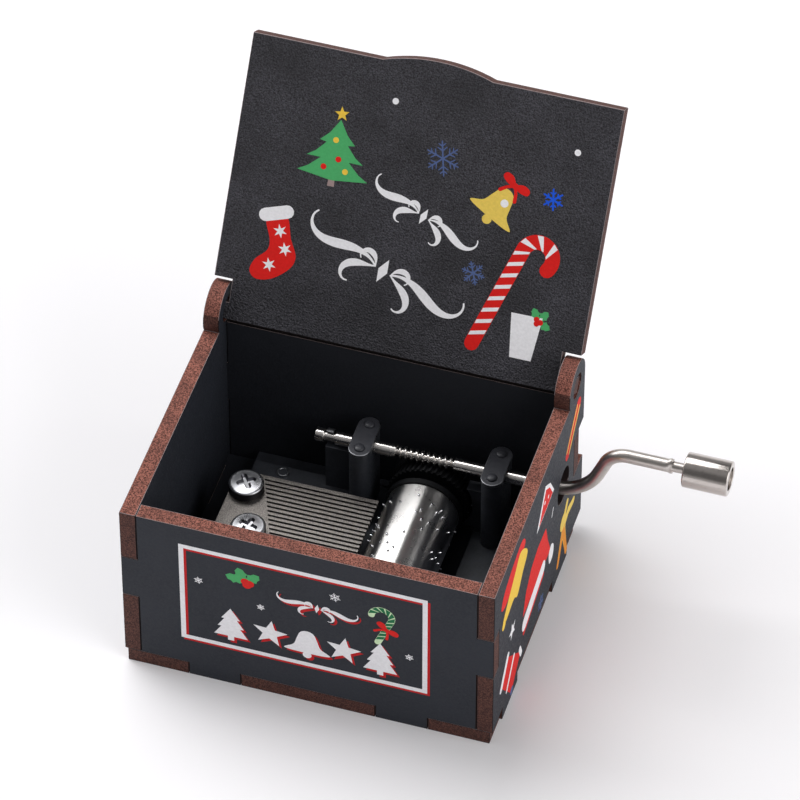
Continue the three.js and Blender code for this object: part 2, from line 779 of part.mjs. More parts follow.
function crankStations() {
  const stations = [];
  const stop = (x, z, angle) => stations.push({
    point: new THREE.Vector3(x, axleDepth, z),
    tangent: new THREE.Vector3(Math.cos(angle), 0, Math.sin(angle)),
  });
  const bends = lowerBendRadius + upperBendRadius;
  const slope = (crankThrow - bends * (1 - Math.cos(bendAngle))) / Math.tan(bendAngle);
  const armEnd = bendStart + bends * Math.sin(bendAngle) + slope;
  const steps = 8;
  stop(axleLeftEnd, axleHeight, 0);
  for (let i = 0; i <= steps; i += 1) {
    const angle = i / steps * bendAngle;
    const lift = lowerBendRadius * (1 - Math.cos(angle));
    stop(bendStart + lowerBendRadius * Math.sin(angle), axleHeight + lift, angle);
  }
  for (let i = steps; i >= 0; i -= 1) {
    const angle = i / steps * bendAngle;
    const drop = upperBendRadius * (1 - Math.cos(angle));
    stop(armEnd - upperBendRadius * Math.sin(angle), handleHeight - drop, angle);
  }
  stop(armEnd + handleLength, handleHeight, 0);
  return stations;
}

// The worm: a thread of trapezoid section on its core. The grid's rows follow the helix, so
// one turn later a row joins on to the row that starts one section further along.
function worm(from, to) {
  const around = 20;
  const crestHalf = (wormPitch - toothBacklash) / 4 - wormDepth / 2 * toothFlankShare;
  const rootHalf = (wormPitch - toothBacklash) / 4 + wormDepth / 2 * toothFlankShare;
  const section = [
    [-rootHalf, wormRoot], [-crestHalf, wormCrest], [crestHalf, wormCrest], [rootHalf, wormRoot]];
  const firstTurn = Math.floor((from - drumCentre) / wormPitch) - 2;
  const lastTurn = Math.ceil((to - drumCentre) / wormPitch) + 2;
  const rows = [];
  for (let turn = firstTurn; turn <= lastTurn; turn += 1) {
    section.forEach(([x, radius]) => rows.push([drumCentre + (turn + 1 / 4) * wormPitch + x, radius]));
  }
  const positions = [];
  rows.forEach(([x, radius]) => {
    for (let j = 0; j < around; j += 1) {
      const angle = 2 * Math.PI * j / around;
      const along = x + wormPitch * j / around;
      positions.push(along, axleDepth + radius * Math.cos(angle), axleHeight + radius * Math.sin(angle));
    }
  });
  const corner = (row, j) => (j < around ? row * around + j : (row + section.length) * around);
  const index = [];
  for (let row = 0; row < rows.length - 1; row += 1) {
    for (let j = 0; j < around; j += 1) {
      if (j === around - 1 && row + 1 + section.length >= rows.length) continue;
      index.push(corner(row, j), corner(row, j + 1), corner(row + 1, j + 1));
      index.push(corner(row, j), corner(row + 1, j + 1), corner(row + 1, j));
    }
  }
  const last = rows.length - 1;
  const startLoop = [];
  const endLoop = [];
  for (let j = 0; j < around; j += 1) {
    startLoop.push(corner(0, j));
    endLoop.push(corner(last, j));
  }
  for (let row = section.length; row > 0; row -= 1) {
    startLoop.push(corner(row, 0));
    endLoop.push(corner(last - 1 - section.length + row, around - 1));
  }
  [startLoop, endLoop].forEach((loop, end) => {
    const hub = positions.length / 3;
    positions.push(end === 0 ? rows[0][0] - wormPitch : rows[last][0] + 2 * wormPitch, axleDepth, axleHeight);
    loop.forEach((id, k) => {
      const next = loop[(k + 1) % loop.length];
      index.push(...(end === 0 ? [hub, next, id] : [hub, id, next]));
    });
  });
  const geometry = new THREE.BufferGeometry();
  geometry.setAttribute('position', new THREE.Float32BufferAttribute(positions, 3));
  geometry.setIndex(index);
  return solid(geometry).intersect(rod(rodRadius, 'x', from, to, axleDepth, axleHeight, 20));
}

function handleEnd() {
  const stations = crankStations();
  return stations[stations.length - 1].point.x;
}

function crankAxle() {
  const stations = crankStations();
  const section = new THREE.Shape();
  section.absarc(0, 0, rodRadius, 0, 2 * Math.PI, false);
  const wire = solid(new THREE.ExtrudeGeometry(section, {
    extrudePath: new StationPath(stations), steps: stations.length - 1, curveSegments: 10 }));
  const wormRight = wormLeft + wormLength;
  const groove = (from, to, radius) => {
    const outer = rodRadius + overrun;
    const profile = [[radius, from], [outer, from], [outer, to], [radius, to], [radius, from]];
    return turned(profile, 'x', axleDepth, axleHeight, 20);
  };
  const crimp = new THREE.Shape();
  crimp.absellipse(axleDepth, handleHeight, crimpFlat / 2, crimpSpread / 2, 0, 2 * Math.PI, false, 0);
  const end = handleEnd();
  const seat = end + knobStandOff + knobLength - knobRecessDepth + knobBoreGap;
  const spindle = turned([
    [0, end - overrun], [spindleRadius, end - overrun], [spindleRadius, seat], [peenedRadius, seat],
    [spindleRadius, seat + peenedLength], [0, seat + peenedLength]], 'x', axleDepth, handleHeight, 20);
  const cutWire = cut(wire, [
    groove(wormLeft, wormRight, wormRoot * wormCoreShare),
    groove(neckLeft, neckLeft + neckLength, neckRadius)]);
  return union([
    cutWire, worm(wormLeft + wormRelief, wormRight - wormRelief),
    slab(crimp, 'x', end - crimpWidth, end, 8), spindle]);
}

function crankKnob() {
  const left = handleEnd() + knobStandOff;
  const right = left + knobLength;
  const bore = spindleRadius + knobBoreGap;
  const edge = knobRadius - knobChamfer;
  return turned([
    [bore, left], [edge, left], [knobRadius, left + knobChamfer], [knobRadius, right - knobChamfer],
    [edge, right], [knobRecessRadius, right], [knobRecessRadius, right - knobRecessDepth],
    [bore, right - knobRecessDepth], [bore, left]], 'x', axleDepth, handleHeight, 32);
}

// Materials
function finish(color, roughness, metalness) {
  return new THREE.MeshStandardMaterial({ color, roughness, metalness });
}

const paintedWood = finish('#2b2b30', 0.7, 0);
const nickel = finish('#c9c7c2', 0.2, 1);
const combSteel = finish('#8d8a84', 0.45, 1);
const blackCasting = finish('#33353a', 0.5, 0.4);
const blackPlastic = finish('#1f2023', 0.45, 0);
const brass = finish('#b08d4a', 0.35, 1);
const zincSteel = finish('#a9abae', 0.35, 1);

const musicBox = new THREE.Group();

function place(name, body, material, parent = musicBox) {
  const mesh = new THREE.Mesh(toGeometry(body), material);
  mesh.name = name;
  parent.add(mesh);
}

place('base_panel', basePanel(), paintedWood);
place('front_panel', frontPanel(), paintedWood);
place('back_panel', backPanel(), paintedWood);
place('left_side_panel', leftSidePanel(), paintedWood);
place('right_side_panel', rightSidePanel(), paintedWood);

const lid = new THREE.Group();
lid.position.set(0, pivotY, pivotZ);
lid.rotation.x = -lidOpenAngle;
place('lid_panel', lidPanel(), paintedWood, lid);
musicBox.add(lid);

place('bedplate', bedplate(), blackCasting);
place('front_bushing', bushing(frontLugFront, frontLugRear), brass);
place('rear_bushing', bushing(rearLugFront, rearLugRear), brass);
place('comb', comb(), combSteel);
Object.entries(combScrewPlaces()).forEach(([name, at]) => {
  place(`comb_screw_${name}`, combScrew(at), nickel);
});
Object.entries(bedScrewPlaces()).forEach(([name, at]) => {
  place(`bed_screw_${name}`, bedScrew(at), zincSteel);
});
for (const [side, x] of [['left', postCentreLeft], ['right', postCentreRight]]) {
  place(`${side}_bearing_cap`, bearingCap(x), blackCasting);
  place(`${side}_cap_rivet_front`, capRivet(x, -1), blackCasting);
  place(`${side}_cap_rivet_rear`, capRivet(x, 1), blackCasting);
}
place('axle_clip', axleClip(), zincSteel);

place('pin_drum', pinDrum(), nickel);
place('drum_end_cap', drumEndCap(), brass);
place('worm_wheel', wormWheel(), blackPlastic);
place('drum_arbor', drumArbor(), zincSteel);

place('crank_axle', crankAxle(), nickel);
place('crank_knob', crankKnob(), nickel);

export default musicBox;
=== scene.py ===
import json
import math

import bmesh
import bpy
from mathutils import Matrix, Vector


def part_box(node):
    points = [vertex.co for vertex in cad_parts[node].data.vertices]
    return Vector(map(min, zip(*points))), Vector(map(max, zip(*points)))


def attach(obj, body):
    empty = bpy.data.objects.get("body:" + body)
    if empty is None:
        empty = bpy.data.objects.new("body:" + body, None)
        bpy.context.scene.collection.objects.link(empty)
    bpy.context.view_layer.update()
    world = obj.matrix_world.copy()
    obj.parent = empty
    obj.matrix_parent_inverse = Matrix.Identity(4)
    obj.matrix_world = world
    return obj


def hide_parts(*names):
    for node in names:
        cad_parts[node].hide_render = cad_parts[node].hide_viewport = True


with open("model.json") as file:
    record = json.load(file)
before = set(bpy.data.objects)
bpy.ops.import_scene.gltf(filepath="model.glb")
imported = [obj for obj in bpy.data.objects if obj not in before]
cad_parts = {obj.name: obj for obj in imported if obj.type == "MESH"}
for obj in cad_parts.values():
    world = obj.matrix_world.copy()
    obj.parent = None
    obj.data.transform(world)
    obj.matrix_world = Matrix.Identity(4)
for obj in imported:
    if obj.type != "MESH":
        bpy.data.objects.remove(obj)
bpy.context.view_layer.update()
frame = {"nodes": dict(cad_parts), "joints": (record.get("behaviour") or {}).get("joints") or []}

MM = 0.001

# Photograph and camera
PHOTO_SIZE = 800
FOCAL_PIXELS = 6000
SENSOR = 36
CAMERA_TARGET = Vector((0, 1, 21)) * MM
CAMERA_AZIMUTH = math.radians(17.1145)
CAMERA_ELEVATION = math.radians(46.286)
CAMERA_ROLL = math.radians(0.0561)
CAMERA_DISTANCE = 999.61 * MM
CAMERA_RIGHT = 7.627 * MM
CAMERA_UP = 17.592 * MM
CAMERA_REACH = 20

# Light: directions point towards the light
LIT_PLACE = Vector((0, 0, 25)) * MM
LAMP_DISTANCE = 1.2
KEY_DIRECTION = (-0.57, 0.3, 0.77)
KEY_SIZE = (1.45, 0.78)
KEY_POWER = 15
FILL_DIRECTION = (0.8, -0.2, 0.5)
FILL_SIZE = (1, 1)
FILL_POWER = 6.5
SKY_LEVEL = 0.3
SKY_LOW = 0.08
SKY_HIGH = 0.35
HORIZON_LEVEL = 0.95
DIM_FROM = 0.7
DIM_TO = 0.95
FRONT_DIRECTION = (-0.1, -0.93, 0.35)
FRONT_SHARE = 0.45
RIGHT_DIRECTION = (0.38, 0.42, 0.82)
RIGHT_SHARE = 0.25
SKY_COLOUR = (1, 0.99, 1, 1)
FLOOR_COLOUR = (0.955, 0.945, 0.965, 1)
FLOOR_WHITE = 0.07
FLOOR_HALF = 1.6
FLOOR_DROP = 0.02 * MM

# Boards, and the numbers of their materials
LID_THICKNESS = 2.8 * MM
CRANK_HOLE_RISE = 0.8 * MM
CRANK_HOLE_REACH = 3.6 * MM
CRANK_HOLE_DEPTH = 4 * MM
OUTER, TOP_CUT, SCORCH_SHADE, EDGE_HIGHLIGHT, INNER, SHADED_SIDE_CUT = range(6)

# Rounding of the solids' edges, and the reach within which their vertices are one
BOARD_EDGE = 0.1 * MM
BED_EDGE = 0.12 * MM
COMB_EDGE = 0.03 * MM
WHEEL_EDGE = 0.05 * MM
BED_SCREW_EDGE = 0.06 * MM
SHARP_ANGLE = 32
WELD = 0.001 * MM

# Crank rod
ROD_RADIUS = 1.15 * MM
ROD_ROUNDING = 0.1 * MM
HEAD_ROUNDING = 0.3 * MM
HEAD_LENGTH = 1.6 * MM
NECK_LENGTH = 2 * MM
NECK_RADIUS = 0.8 * MM
BEND_LEAD_IN = 2.2 * MM
LOWER_BEND_RADIUS = 8.7 * MM
UPPER_BEND_RADIUS = 4.2 * MM
BEND_ANGLE = math.radians(68.2)
CRIMP_LENGTH = 1.3 * MM
EAR_SHARE = 0.36
PINCH_SHARE = 0.2
SPINDLE_RADIUS = 0.9 * MM
PEENED_RADIUS = 1.4 * MM
PEENED_LENGTH = 0.4 * MM
PEENED_LIFT = 0.15 * MM
PEENED_ROUNDING = 0.2 * MM
PEENED_TIP_ROUNDING = 0.1 * MM
KNOB_STAND_OFF = 2.1 * MM

# Worm
WORM_OFFSET = 1 * MM
WORM_LENGTH = 10.2 * MM
WORM_RELIEF = 0.35 * MM
WORM_PITCH = 1 * MM
WORM_ROOT = 0.7 * MM
WORM_CORE_SHARE = 0.9
WORM_RUN_OUT = 3
WORM_CREST = 1.12 * MM
WORM_CREST_HALF = 0.14 * MM
WORM_ROOT_HALF = 0.28 * MM

# Knob
KNOB_BORE = 1.05 * MM
KNOB_RECESS_RADIUS = 2 * MM
KNOB_RECESS_DEPTH = 0.9 * MM
KNOB_ROUNDING = 0.28 * MM
KNOB_RECESS_ROUNDING = 0.12 * MM

# Drum
DRUM_RADIUS = 6.3 * MM
DRUM_TUBE = 0.8 * MM
DRUM_FRONT_ROUNDING = 0.15 * MM
DRUM_REAR_ROUNDING = 0.12 * MM
PIN_RADIUS = 0.2 * MM
PIN_TIP = 6.7 * MM
PIN_SINK = 0.1 * MM
PIN_SHOULDER = 0.12 * MM
PIN_CROWN = 0.03 * MM
PIN_CROWN_SHARE = 0.75
NOTES = 18
BEATS = 60
BASS_EVERY = 4
MELODY_TURNS = 3
TRILL_TURNS = 11
TRILL_SHARE = 0.4
NOTE_PITCH = 0.95 * MM
COMB_MARGIN = 2.1 * MM
PLUG_RADIUS = 5.4 * MM
ARBOR_HOLE = 1.07 * MM
ARBOR_RADIUS = 0.95 * MM
ARBOR_CHAMFER = 0.25 * MM
BUSHING_RADIUS = 1.77 * MM
FINE_EDGE = 0.08 * MM

# Stud on the casting, behind the comb
BOSS_INSET = 6.4 * MM
BOSS_SETBACK = 0.7 * MM
BOSS_RADIUS = 1.03 * MM
BOSS_TOP = 9.47 * MM
BOSS_DEPTH = 0.5 * MM
BOSS_DISH = 0.1 * MM
BOSS_DISH_SHARES = (0.78, 0.7)
BOSS_ROUNDING = 0.05 * MM

# Comb screws
SCREW_RADIUS = 1.2 * MM
SCREW_SIDE = 1.5 * MM
SCREW_CROWN_SHARE = 0.8
SCREW_POINT = 0.25 * MM
SCREW_FOOT = 0.12 * MM
SCREW_SHOULDER = 0.1 * MM
SCREW_DOME = 0.22 * MM
CROSS_LENGTH = 3.7 * MM
CROSS_WIDTH = 1.15 * MM
CROSS_DEPTH = 0.6 * MM
CROSS_TURNS = {"comb_screw_rear": 35, "comb_screw_front": 75}

# Bearing caps, rivets and clip
CAP_ROUNDING = 0.14 * MM
RIVET_FOOT = 0.06 * MM
CLIP_GAP = 0.2 * MM
CLIP_THICKNESS = 0.4 * MM
CLIP_WRAP = math.radians(100)

# Printed films
FILM = 0.012 * MM
FILM_BASE = 0.03 * MM
STAGGER_COUNT = 8

joint_places = {joint["name"]: Vector(joint["pos_m"]) for joint in frame["joints"]}
axle = joint_places["crank_spin"]
handle = joint_places["knob_spin"]
drum_axis = joint_places["drum_spin"]
hinge = joint_places["lid_hinge"]
lid_angle = math.radians(next(j for j in frame["joints"] if j["name"] == "lid_hinge")["range_deg"][1])


def srgb(red, green, blue):
    """A linear colour from the usual 0 to 255 values."""
    def linear(value):
        value /= 255
        return value / 12.92 if value <= 0.04045 else ((value + 0.055) / 1.055) ** 2.4
    return (linear(red), linear(green), linear(blue), 1)


def darker(colour, share):
    return tuple(part * share for part in colour[:3]) + (1,)


def mapped(tree, value, low, high, start, end):
    """A node that maps value from start..end on to low..high, held there at both ends."""
    node = tree.nodes.new("ShaderNodeMapRange")
    tree.links.new(value, node.inputs["Value"])
    for socket, number in (("From Min", start), ("From Max", end), ("To Min", low), ("To Max", high)):
        node.inputs[socket].default_value = number
    return node


# Materials

class Finish:
    """A Principled material, built by short calls. Textures lie in the object's own space."""

    def __init__(self, name, colour, roughness, metallic=0.0):
        self.material = bpy.data.materials.new(name)
        self.material.use_nodes = True
        self.tree = self.material.node_tree
        self.shader = self.tree.nodes["Principled BSDF"]
        self.place = self.add("ShaderNodeTexCoord").outputs["Object"]
        self.set("Base Color", colour)
        self.set("Roughness", roughness)
        self.set("Metallic", metallic)

    def add(self, kind, **settings):
        node = self.tree.nodes.new(kind)
        for key, value in settings.items():
            setattr(node, key, value)
        return node

    def set(self, socket, value):
        self.shader.inputs[socket].default_value = value

    def feed(self, socket, output):
        self.tree.links.new(output, self.shader.inputs[socket])

    def stretched(self, stretch):
        mapping = self.add("ShaderNodeMapping")
        mapping.inputs["Scale"].default_value = stretch
        self.tree.links.new(self.place, mapping.inputs["Vector"])
        return mapping.outputs["Vector"]

    def noise(self, size, detail=3.0, roughness=0.55, stretch=(1, 1, 1)):
        """Noise whose features are about size metres across."""
        node = self.add("ShaderNodeTexNoise")
        node.inputs["Scale"].default_value = 1 / size
        node.inputs["Detail"].default_value = detail
        node.inputs["Roughness"].default_value = roughness
        self.tree.links.new(self.stretched(stretch), node.inputs["Vector"])
        return node.outputs["Fac"]

    def cells(self, size):
        node = self.add("ShaderNodeTexVoronoi", feature="SMOOTH_F1")
        node.inputs["Scale"].default_value = 1 / size
        node.inputs["Smoothness"].default_value = 0.6
        self.tree.links.new(self.place, node.inputs["Vector"])
        return node.outputs["Distance"]

    def spread(self, value, low, high, start=0.35, end=0.65):
        return mapped(self.tree, value, low, high, start, end).outputs["Result"]

    def blend(self, share, first, second):
        """A colour between two others; each is a colour or another blend's output."""
        node = self.add("ShaderNodeMix", data_type="RGBA")
        self.tree.links.new(share, node.inputs["Factor"])
        for socket, colour in ((node.inputs[6], first), (node.inputs[7], second)):
            if isinstance(colour, tuple):
                socket.default_value = colour
            else:
                self.tree.links.new(colour, socket)
        return node.outputs[2]

    def streaked(self, axis, strength):
        """Light streaks along an axis of the object, for tool marks that run round it."""
        self.set("Anisotropic", strength)
        self.set("Anisotropic Rotation", 0.25)
        tangent = self.add("ShaderNodeTangent", direction_type="RADIAL", axis=axis)
        self.feed("Tangent", tangent.outputs["Tangent"])
        return self.material

    def bump(self, *layers):
        """Layers of (height, distance in metres), the coarse one first."""
        normal = None
        for height, distance in layers:
            node = self.add("ShaderNodeBump")
            node.inputs["Distance"].default_value = distance
            self.tree.links.new(height, node.inputs["Height"])
            if normal:
                self.tree.links.new(normal, node.inputs["Normal"])
            normal = node.outputs["Normal"]
        self.feed("Normal", normal)


def painted(name, dark, light, grain, depth, roughness, pit_shade=0.0):
    """Paint over board, with a leather-like grain whose pits are darker by a given share: partly the
    grain's own tone, partly painted shade that stands in for the shading of its bumps.
    """
    paint = Finish(name, dark, roughness)
    paint.set("Specular IOR Level", 0.22)
    cloud = paint.spread(paint.noise(9 * MM, 2), 0, 1, 0.3, 0.7)
    fibre = paint.noise(grain, 3, 0.6)
    raised = paint.spread(fibre, 0, 1, 0.34, 0.66)
    body = paint.blend(cloud, dark, light)
    # Painted shade in the grain's pits: the colour darkens where the grain is low.
    paint.feed("Base Color", paint.blend(raised, darker(dark, 1 - pit_shade), body))
    creases = paint.cells(grain * 1.3)
    paint.feed("Roughness", paint.spread(fibre, roughness - 0.1, roughness + 0.12))
    paint.bump((creases, depth), (fibre, depth * 0.7))
    return paint.material


def cut_edge(name, dark, light):
    """Laser-cut board: reddish brown with patches of scorch, finely speckled by its fibres."""
    wood = Finish(name, dark, 0.75)
    wood.set("Specular IOR Level", 0.3)
    speckle = wood.spread(wood.noise(0.22 * MM, 2, 0.7), 0, 1, 0.41, 0.6)
    scorch = wood.spread(wood.noise(5 * MM, 3, 0.6), 0, 0.55, 0.4, 0.75)
    body = wood.blend(speckle, dark, light)
    wood.feed("Base Color", wood.blend(scorch, body, srgb(74, 44, 40)))
    wood.bump((wood.noise(0.22 * MM, 2), 0.05 * MM))
    return wood.material


def ink(name, colour):
    film = Finish(name, colour, 0.5)
    film.set("Specular IOR Level", 0.18)
    mottle = film.spread(film.noise(0.45 * MM, 3, 0.6), 0, 1)
    film.feed("Base Color", film.blend(mottle, darker(colour, 0.92), colour))
    film.feed("Roughness", film.spread(film.noise(0.4 * MM, 2), 0.55, 0.7))
    film.bump((film.cells(0.55 * MM), 0.02 * MM), (film.noise(0.4 * MM, 3), 0.014 * MM))
    return film.material


def plated(name, colour, smooth, rough, lines=(1, 1, 1), line_depth=0.002 * MM):
    """Plated metal with slight smears; lines stretches fine tool marks along two axes."""
    metal = Finish(name, colour, smooth, 1)
    smear = metal.noise(2.5 * MM, 3, 0.6)
    metal.feed("Roughness", metal.spread(smear, smooth, rough, 0.35, 0.7))
    dust = metal.spread(metal.noise(0.5 * MM, 4, 0.7), 0, 1, 0.55, 0.8)
    metal.feed("Base Color", metal.blend(dust, colour, darker(colour, 0.7)))
    metal.bump((metal.noise(0.16 * MM, 3, 0.6, lines), line_depth))
    return metal


def casting(name, dark, light, roughness, depth, specular=0.5):
    """Coated or moulded black: an even satin with a fine orange-peel surface."""
    coat = Finish(name, dark, roughness)
    coat.set("Specular IOR Level", specular)
    patch = coat.spread(coat.noise(3 * MM, 3, 0.6), 0, 1)
    coat.feed("Base Color", coat.blend(patch, dark, light))
    coat.feed("Roughness", coat.spread(coat.noise(0.5 * MM, 3), roughness - 0.08, roughness + 0.12))
    coat.bump((coat.noise(0.6 * MM, 2), depth), (coat.noise(0.15 * MM, 2), depth * 0.4))
    return coat.material


def comb_steel():
    """Ground spring steel: fine marks across the teeth, matt and grainy."""
    steel = Finish("comb_steel", srgb(128, 123, 119), 0.36, 1)
    marks = steel.noise(0.16 * MM, 4, 0.7, (1, 0.25, 1))
    grain = steel.noise(0.22 * MM, 3, 0.75)
    tint = steel.blend(steel.spread(grain, 0, 1), srgb(98, 94, 92), srgb(152, 147, 142))
    steel.feed("Base Color", tint)
    steel.feed("Roughness", steel.spread(marks, 0.28, 0.5))
    steel.bump((grain, 0.012 * MM), (marks, 0.006 * MM))
    return steel.material


board_face = painted("board_face", srgb(42, 45, 52), srgb(48, 51, 59), 0.35 * MM, 0.015 * MM, 0.62)
# The inner faces' paint is a slightly lighter copy of the outer paint: painted light for the dim inside
# of the box.
board_inner_lightened = painted("board_inner_lightened", srgb(44, 46, 52), srgb(50, 52, 59), 0.4 * MM, 0.02 * MM, 0.6)
# The lid's paint has strongly darkened pits, partly painted shade.
lid_face = painted("lid_face", srgb(64, 63, 68), srgb(84, 83, 90), 0.25 * MM, 0.2 * MM, 0.46, 0.78)
board_cut = cut_edge("board_cut", srgb(72, 38, 30), srgb(174, 110, 95))
# A darker copy of the cut edge for cut faces that don't look up: painted shade.
board_cut_shaded = cut_edge("board_cut_shaded", srgb(50, 27, 23), srgb(104, 65, 55))
# The dark scorch colour is painted shade: it goes on cut faces that look down, the crank's hole, the back
# board's rim under the lid and the bevels that don't face up.
scorch_shade = painted("scorch_shade", srgb(24, 17, 17), srgb(40, 26, 25), 0.3 * MM, 0.02 * MM, 0.8)
# A pale line for bevels that catch the light: painted highlight.
board_edge_highlight = painted("board_edge_highlight", srgb(160, 148, 148), srgb(124, 104, 102), 0.4 * MM, 0.01 * MM, 0.6)
crank_nickel = plated("crank_nickel", srgb(206, 200, 195), 0.3, 0.4, (0.15, 1, 1)).material
knob_nickel = plated("knob_nickel", srgb(200, 193, 188), 0.14, 0.22, (2, 0.3, 0.3), 0.003 * MM).material
screw_nickel = plated("screw_nickel", srgb(206, 207, 211), 0.26, 0.36).material
pin_steel = plated("pin_steel", srgb(226, 227, 230), 0.12, 0.2).material
# Darker copies of the screw metal for the head's sides and the cross recess's walls: painted shade.
screw_side_shaded = plated("screw_side_shaded", srgb(70, 70, 75), 0.3, 0.45, (1, 1, 3)).material
recess_wall_shaded = plated("recess_wall_shaded", srgb(112, 112, 117), 0.3, 0.45).material
zinc_steel = plated("zinc_steel", srgb(170, 172, 176), 0.25, 0.4).material
bushing_brass = plated("bushing_brass", srgb(196, 160, 96), 0.25, 0.4).material
black_casting = casting("black_casting", srgb(48, 51, 57), srgb(58, 61, 68), 0.5, 0.012 * MM)
cap_black = casting("cap_black", srgb(50, 51, 57), srgb(62, 63, 69), 0.4, 0.01 * MM)
wheel_plastic = casting("wheel_plastic", srgb(10, 11, 14), srgb(15, 16, 19), 0.62, 0.006 * MM, 0.2)
# Bright metal on the caps' rounded rims: a worn edge that also stands in as a painted highlight.
worn_edge_highlight = plated("worn_edge_highlight", srgb(150, 151, 156), 0.25, 0.5).material
comb_metal = comb_steel()
drum_metal = plated("drum_plate", srgb(236, 234, 232), 0.27, 0.33, (0.2, 2, 0.2)).streaked("Y", 0.92)
axle_nickel = plated("axle_nickel", srgb(236, 232, 228), 0.24, 0.3, (2, 0.3, 0.3)).streaked("X", 0.85)

INKS = {
    "white": srgb(248, 247, 250), "red": srgb(226, 32, 28), "dark_red": srgb(196, 24, 28),
    "green": srgb(80, 176, 108), "dark_green": srgb(30, 116, 72), "pale_green": srgb(214, 238, 196),
    "yellow": srgb(246, 206, 76), "gold": srgb(242, 210, 98), "orange": srgb(238, 152, 52),
    "blue": srgb(30, 92, 226), "frost": srgb(86, 104, 150), "brown": srgb(164, 142, 140),
}
inks = {name: ink("ink_" + name, colour) for name, colour in INKS.items()}


# Shapes

def rounded(corners, closed=False, steps=4):
    """The points of an outline whose corners are (u, v) or (u, v, radius)."""
    points = []
    count = len(corners)
    for i, corner in enumerate(corners):
        here = Vector(corner[:2])
        if len(corner) < 3 or (not closed and i in (0, count - 1)):
            points.append(here)
            continue
        back = Vector(corners[i - 1][:2]) - here
        ahead = Vector(corners[(i + 1) % count][:2]) - here
        half = back.angle(ahead) / 2
        cut = min(corner[2] / math.tan(half), back.length / 2, ahead.length / 2)
        centre = here + (back.normalized() + ahead.normalized()).normalized() * cut / math.cos(half)
        start = here + back.normalized() * cut - centre
        end = here + ahead.normalized() * cut - centre
        first = math.atan2(start.y, start.x)
        swing = math.remainder(math.atan2(end.y, end.x) - first, 2 * math.pi)
        for step in range(steps + 1):
            angle = first + swing * step / steps
            points.append(centre + Vector((math.cos(angle), math.sin(angle))) * start.length)
    return points


def arc(u, v, radius, first, last, steps, rise=None):
    """Points round (u, v) from one angle to another; rise is the other half axis of an ellipse."""
    angles = [first + (last - first) * i / steps for i in range(steps + 1)]
    return [(u + radius * math.cos(a), v + (rise or radius) * math.sin(a)) for a in angles]


def circle(u, v, radius, count=28):
    return arc(u, v, radius, 0, 2 * math.pi, count)[:-1]


def outward(mesh):
    """Turns every face of a closed mesh outwards."""
    shape = bmesh.new()
    shape.from_mesh(mesh)
    bmesh.ops.recalc_face_normals(shape, faces=shape.faces)
    shape.to_mesh(mesh)
    shape.free()


def linked(name, data):
    """A new object in the scene."""
    item = bpy.data.objects.new(name, data)
    bpy.context.scene.collection.objects.link(item)
    return item


def settle(name, mesh, body, materials, sharp=40, weighted=False):
    """Links and smooths a finished mesh on its body; one with a node's name stands for that node."""
    outward(mesh)
    for material in materials:
        mesh.materials.append(material)
    mesh.shade_smooth()
    mesh.set_sharp_from_angle(angle=math.radians(sharp))
    stands_in = name in frame["nodes"]
    piece = linked(name + "_dressed" if stands_in else name, mesh)
    if weighted:
        piece.modifiers.new("even_shading", "WEIGHTED_NORMAL").keep_sharp = True
    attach(piece, body)
    if stands_in:
        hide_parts(name)


class Shape:
    """Closed surfaces gathered into one mesh, each with the number of its material."""

    def __init__(self):
        self.vertices = []
        self.faces = []
        self.numbers = []

    def add(self, vertices, faces, number=0):
        base = len(self.vertices)
        self.vertices += [tuple(vertex) for vertex in vertices]
        self.faces += [[base + i for i in face] for face in faces]
        self.numbers += [number] * len(faces)

    def rings(self, rings, number=0):
        """Rings of equal length joined in order; a ring of one point closes an end."""
        vertices = [vertex for ring in rings for vertex in ring]
        starts = [0]
        for ring in rings:
            starts.append(starts[-1] + len(ring))
        faces = []
        for a in range(len(rings) - 1):
            first, second = len(rings[a]), len(rings[a + 1])
            around = max(first, second)
            for i in range(around):
                j = (i + 1) % around
                face = [starts[a] + i % first, starts[a] + j % first]
                face += [starts[a + 1] + j % second, starts[a + 1] + i % second]
                faces.append(list(dict.fromkeys(face)))
        self.add(vertices, faces, number)

    def stack(self, rings, number=0):
        """Rings of equal length joined in order, with a flat face over each end."""
        count = len(rings[0])
        last = (len(rings) - 1) * count
        faces = [list(range(count))[::-1], list(range(last, last + count))]
        for a in range(0, last, count):
            for i in range(count):
                j = (i + 1) % count
                faces.append([a + i, a + j, a + count + j, a + count + i])
        self.add([vertex for ring in rings for vertex in ring], faces, number)

    def turned(self, profile, axis, centre, segments=48, number=0):
        """A profile of (radius, place along the axis), turned round the axis through centre."""
        along = "xyz".index(axis)
        across, up = (along + 1) % 3, (along + 2) % 3
        rings = []
        for radius, place in profile:
            count = segments if radius > 0 else 1
            ring = []
            for i in range(count):
                angle = 2 * math.pi * i / segments
                point = Vector(centre)
                point[along] = place
                point[across] += radius * math.cos(angle)
                point[up] += radius * math.sin(angle)
                ring.append(point)
            rings.append(ring)
        self.rings(rings, number)

    def prism(self, outline, axis, low, high, number=0):
        """An outline of the two axes that follow axis, from low to high along it."""
        along = "xyz".index(axis)
        across, up = (along + 1) % 3, (along + 2) % 3
        rings = []
        for place in (low, high):
            ring = []
            for u, v in outline:
                point = [0, 0, 0]
                point[along], point[across], point[up] = place, u, v
                ring.append(point)
            rings.append(ring)
        self.stack(rings, number)

    def mesh(self, name):
        mesh = bpy.data.meshes.new(name)
        mesh.from_pydata(self.vertices, [], self.faces)
        mesh.polygons.foreach_set("material_index", self.numbers)
        return mesh


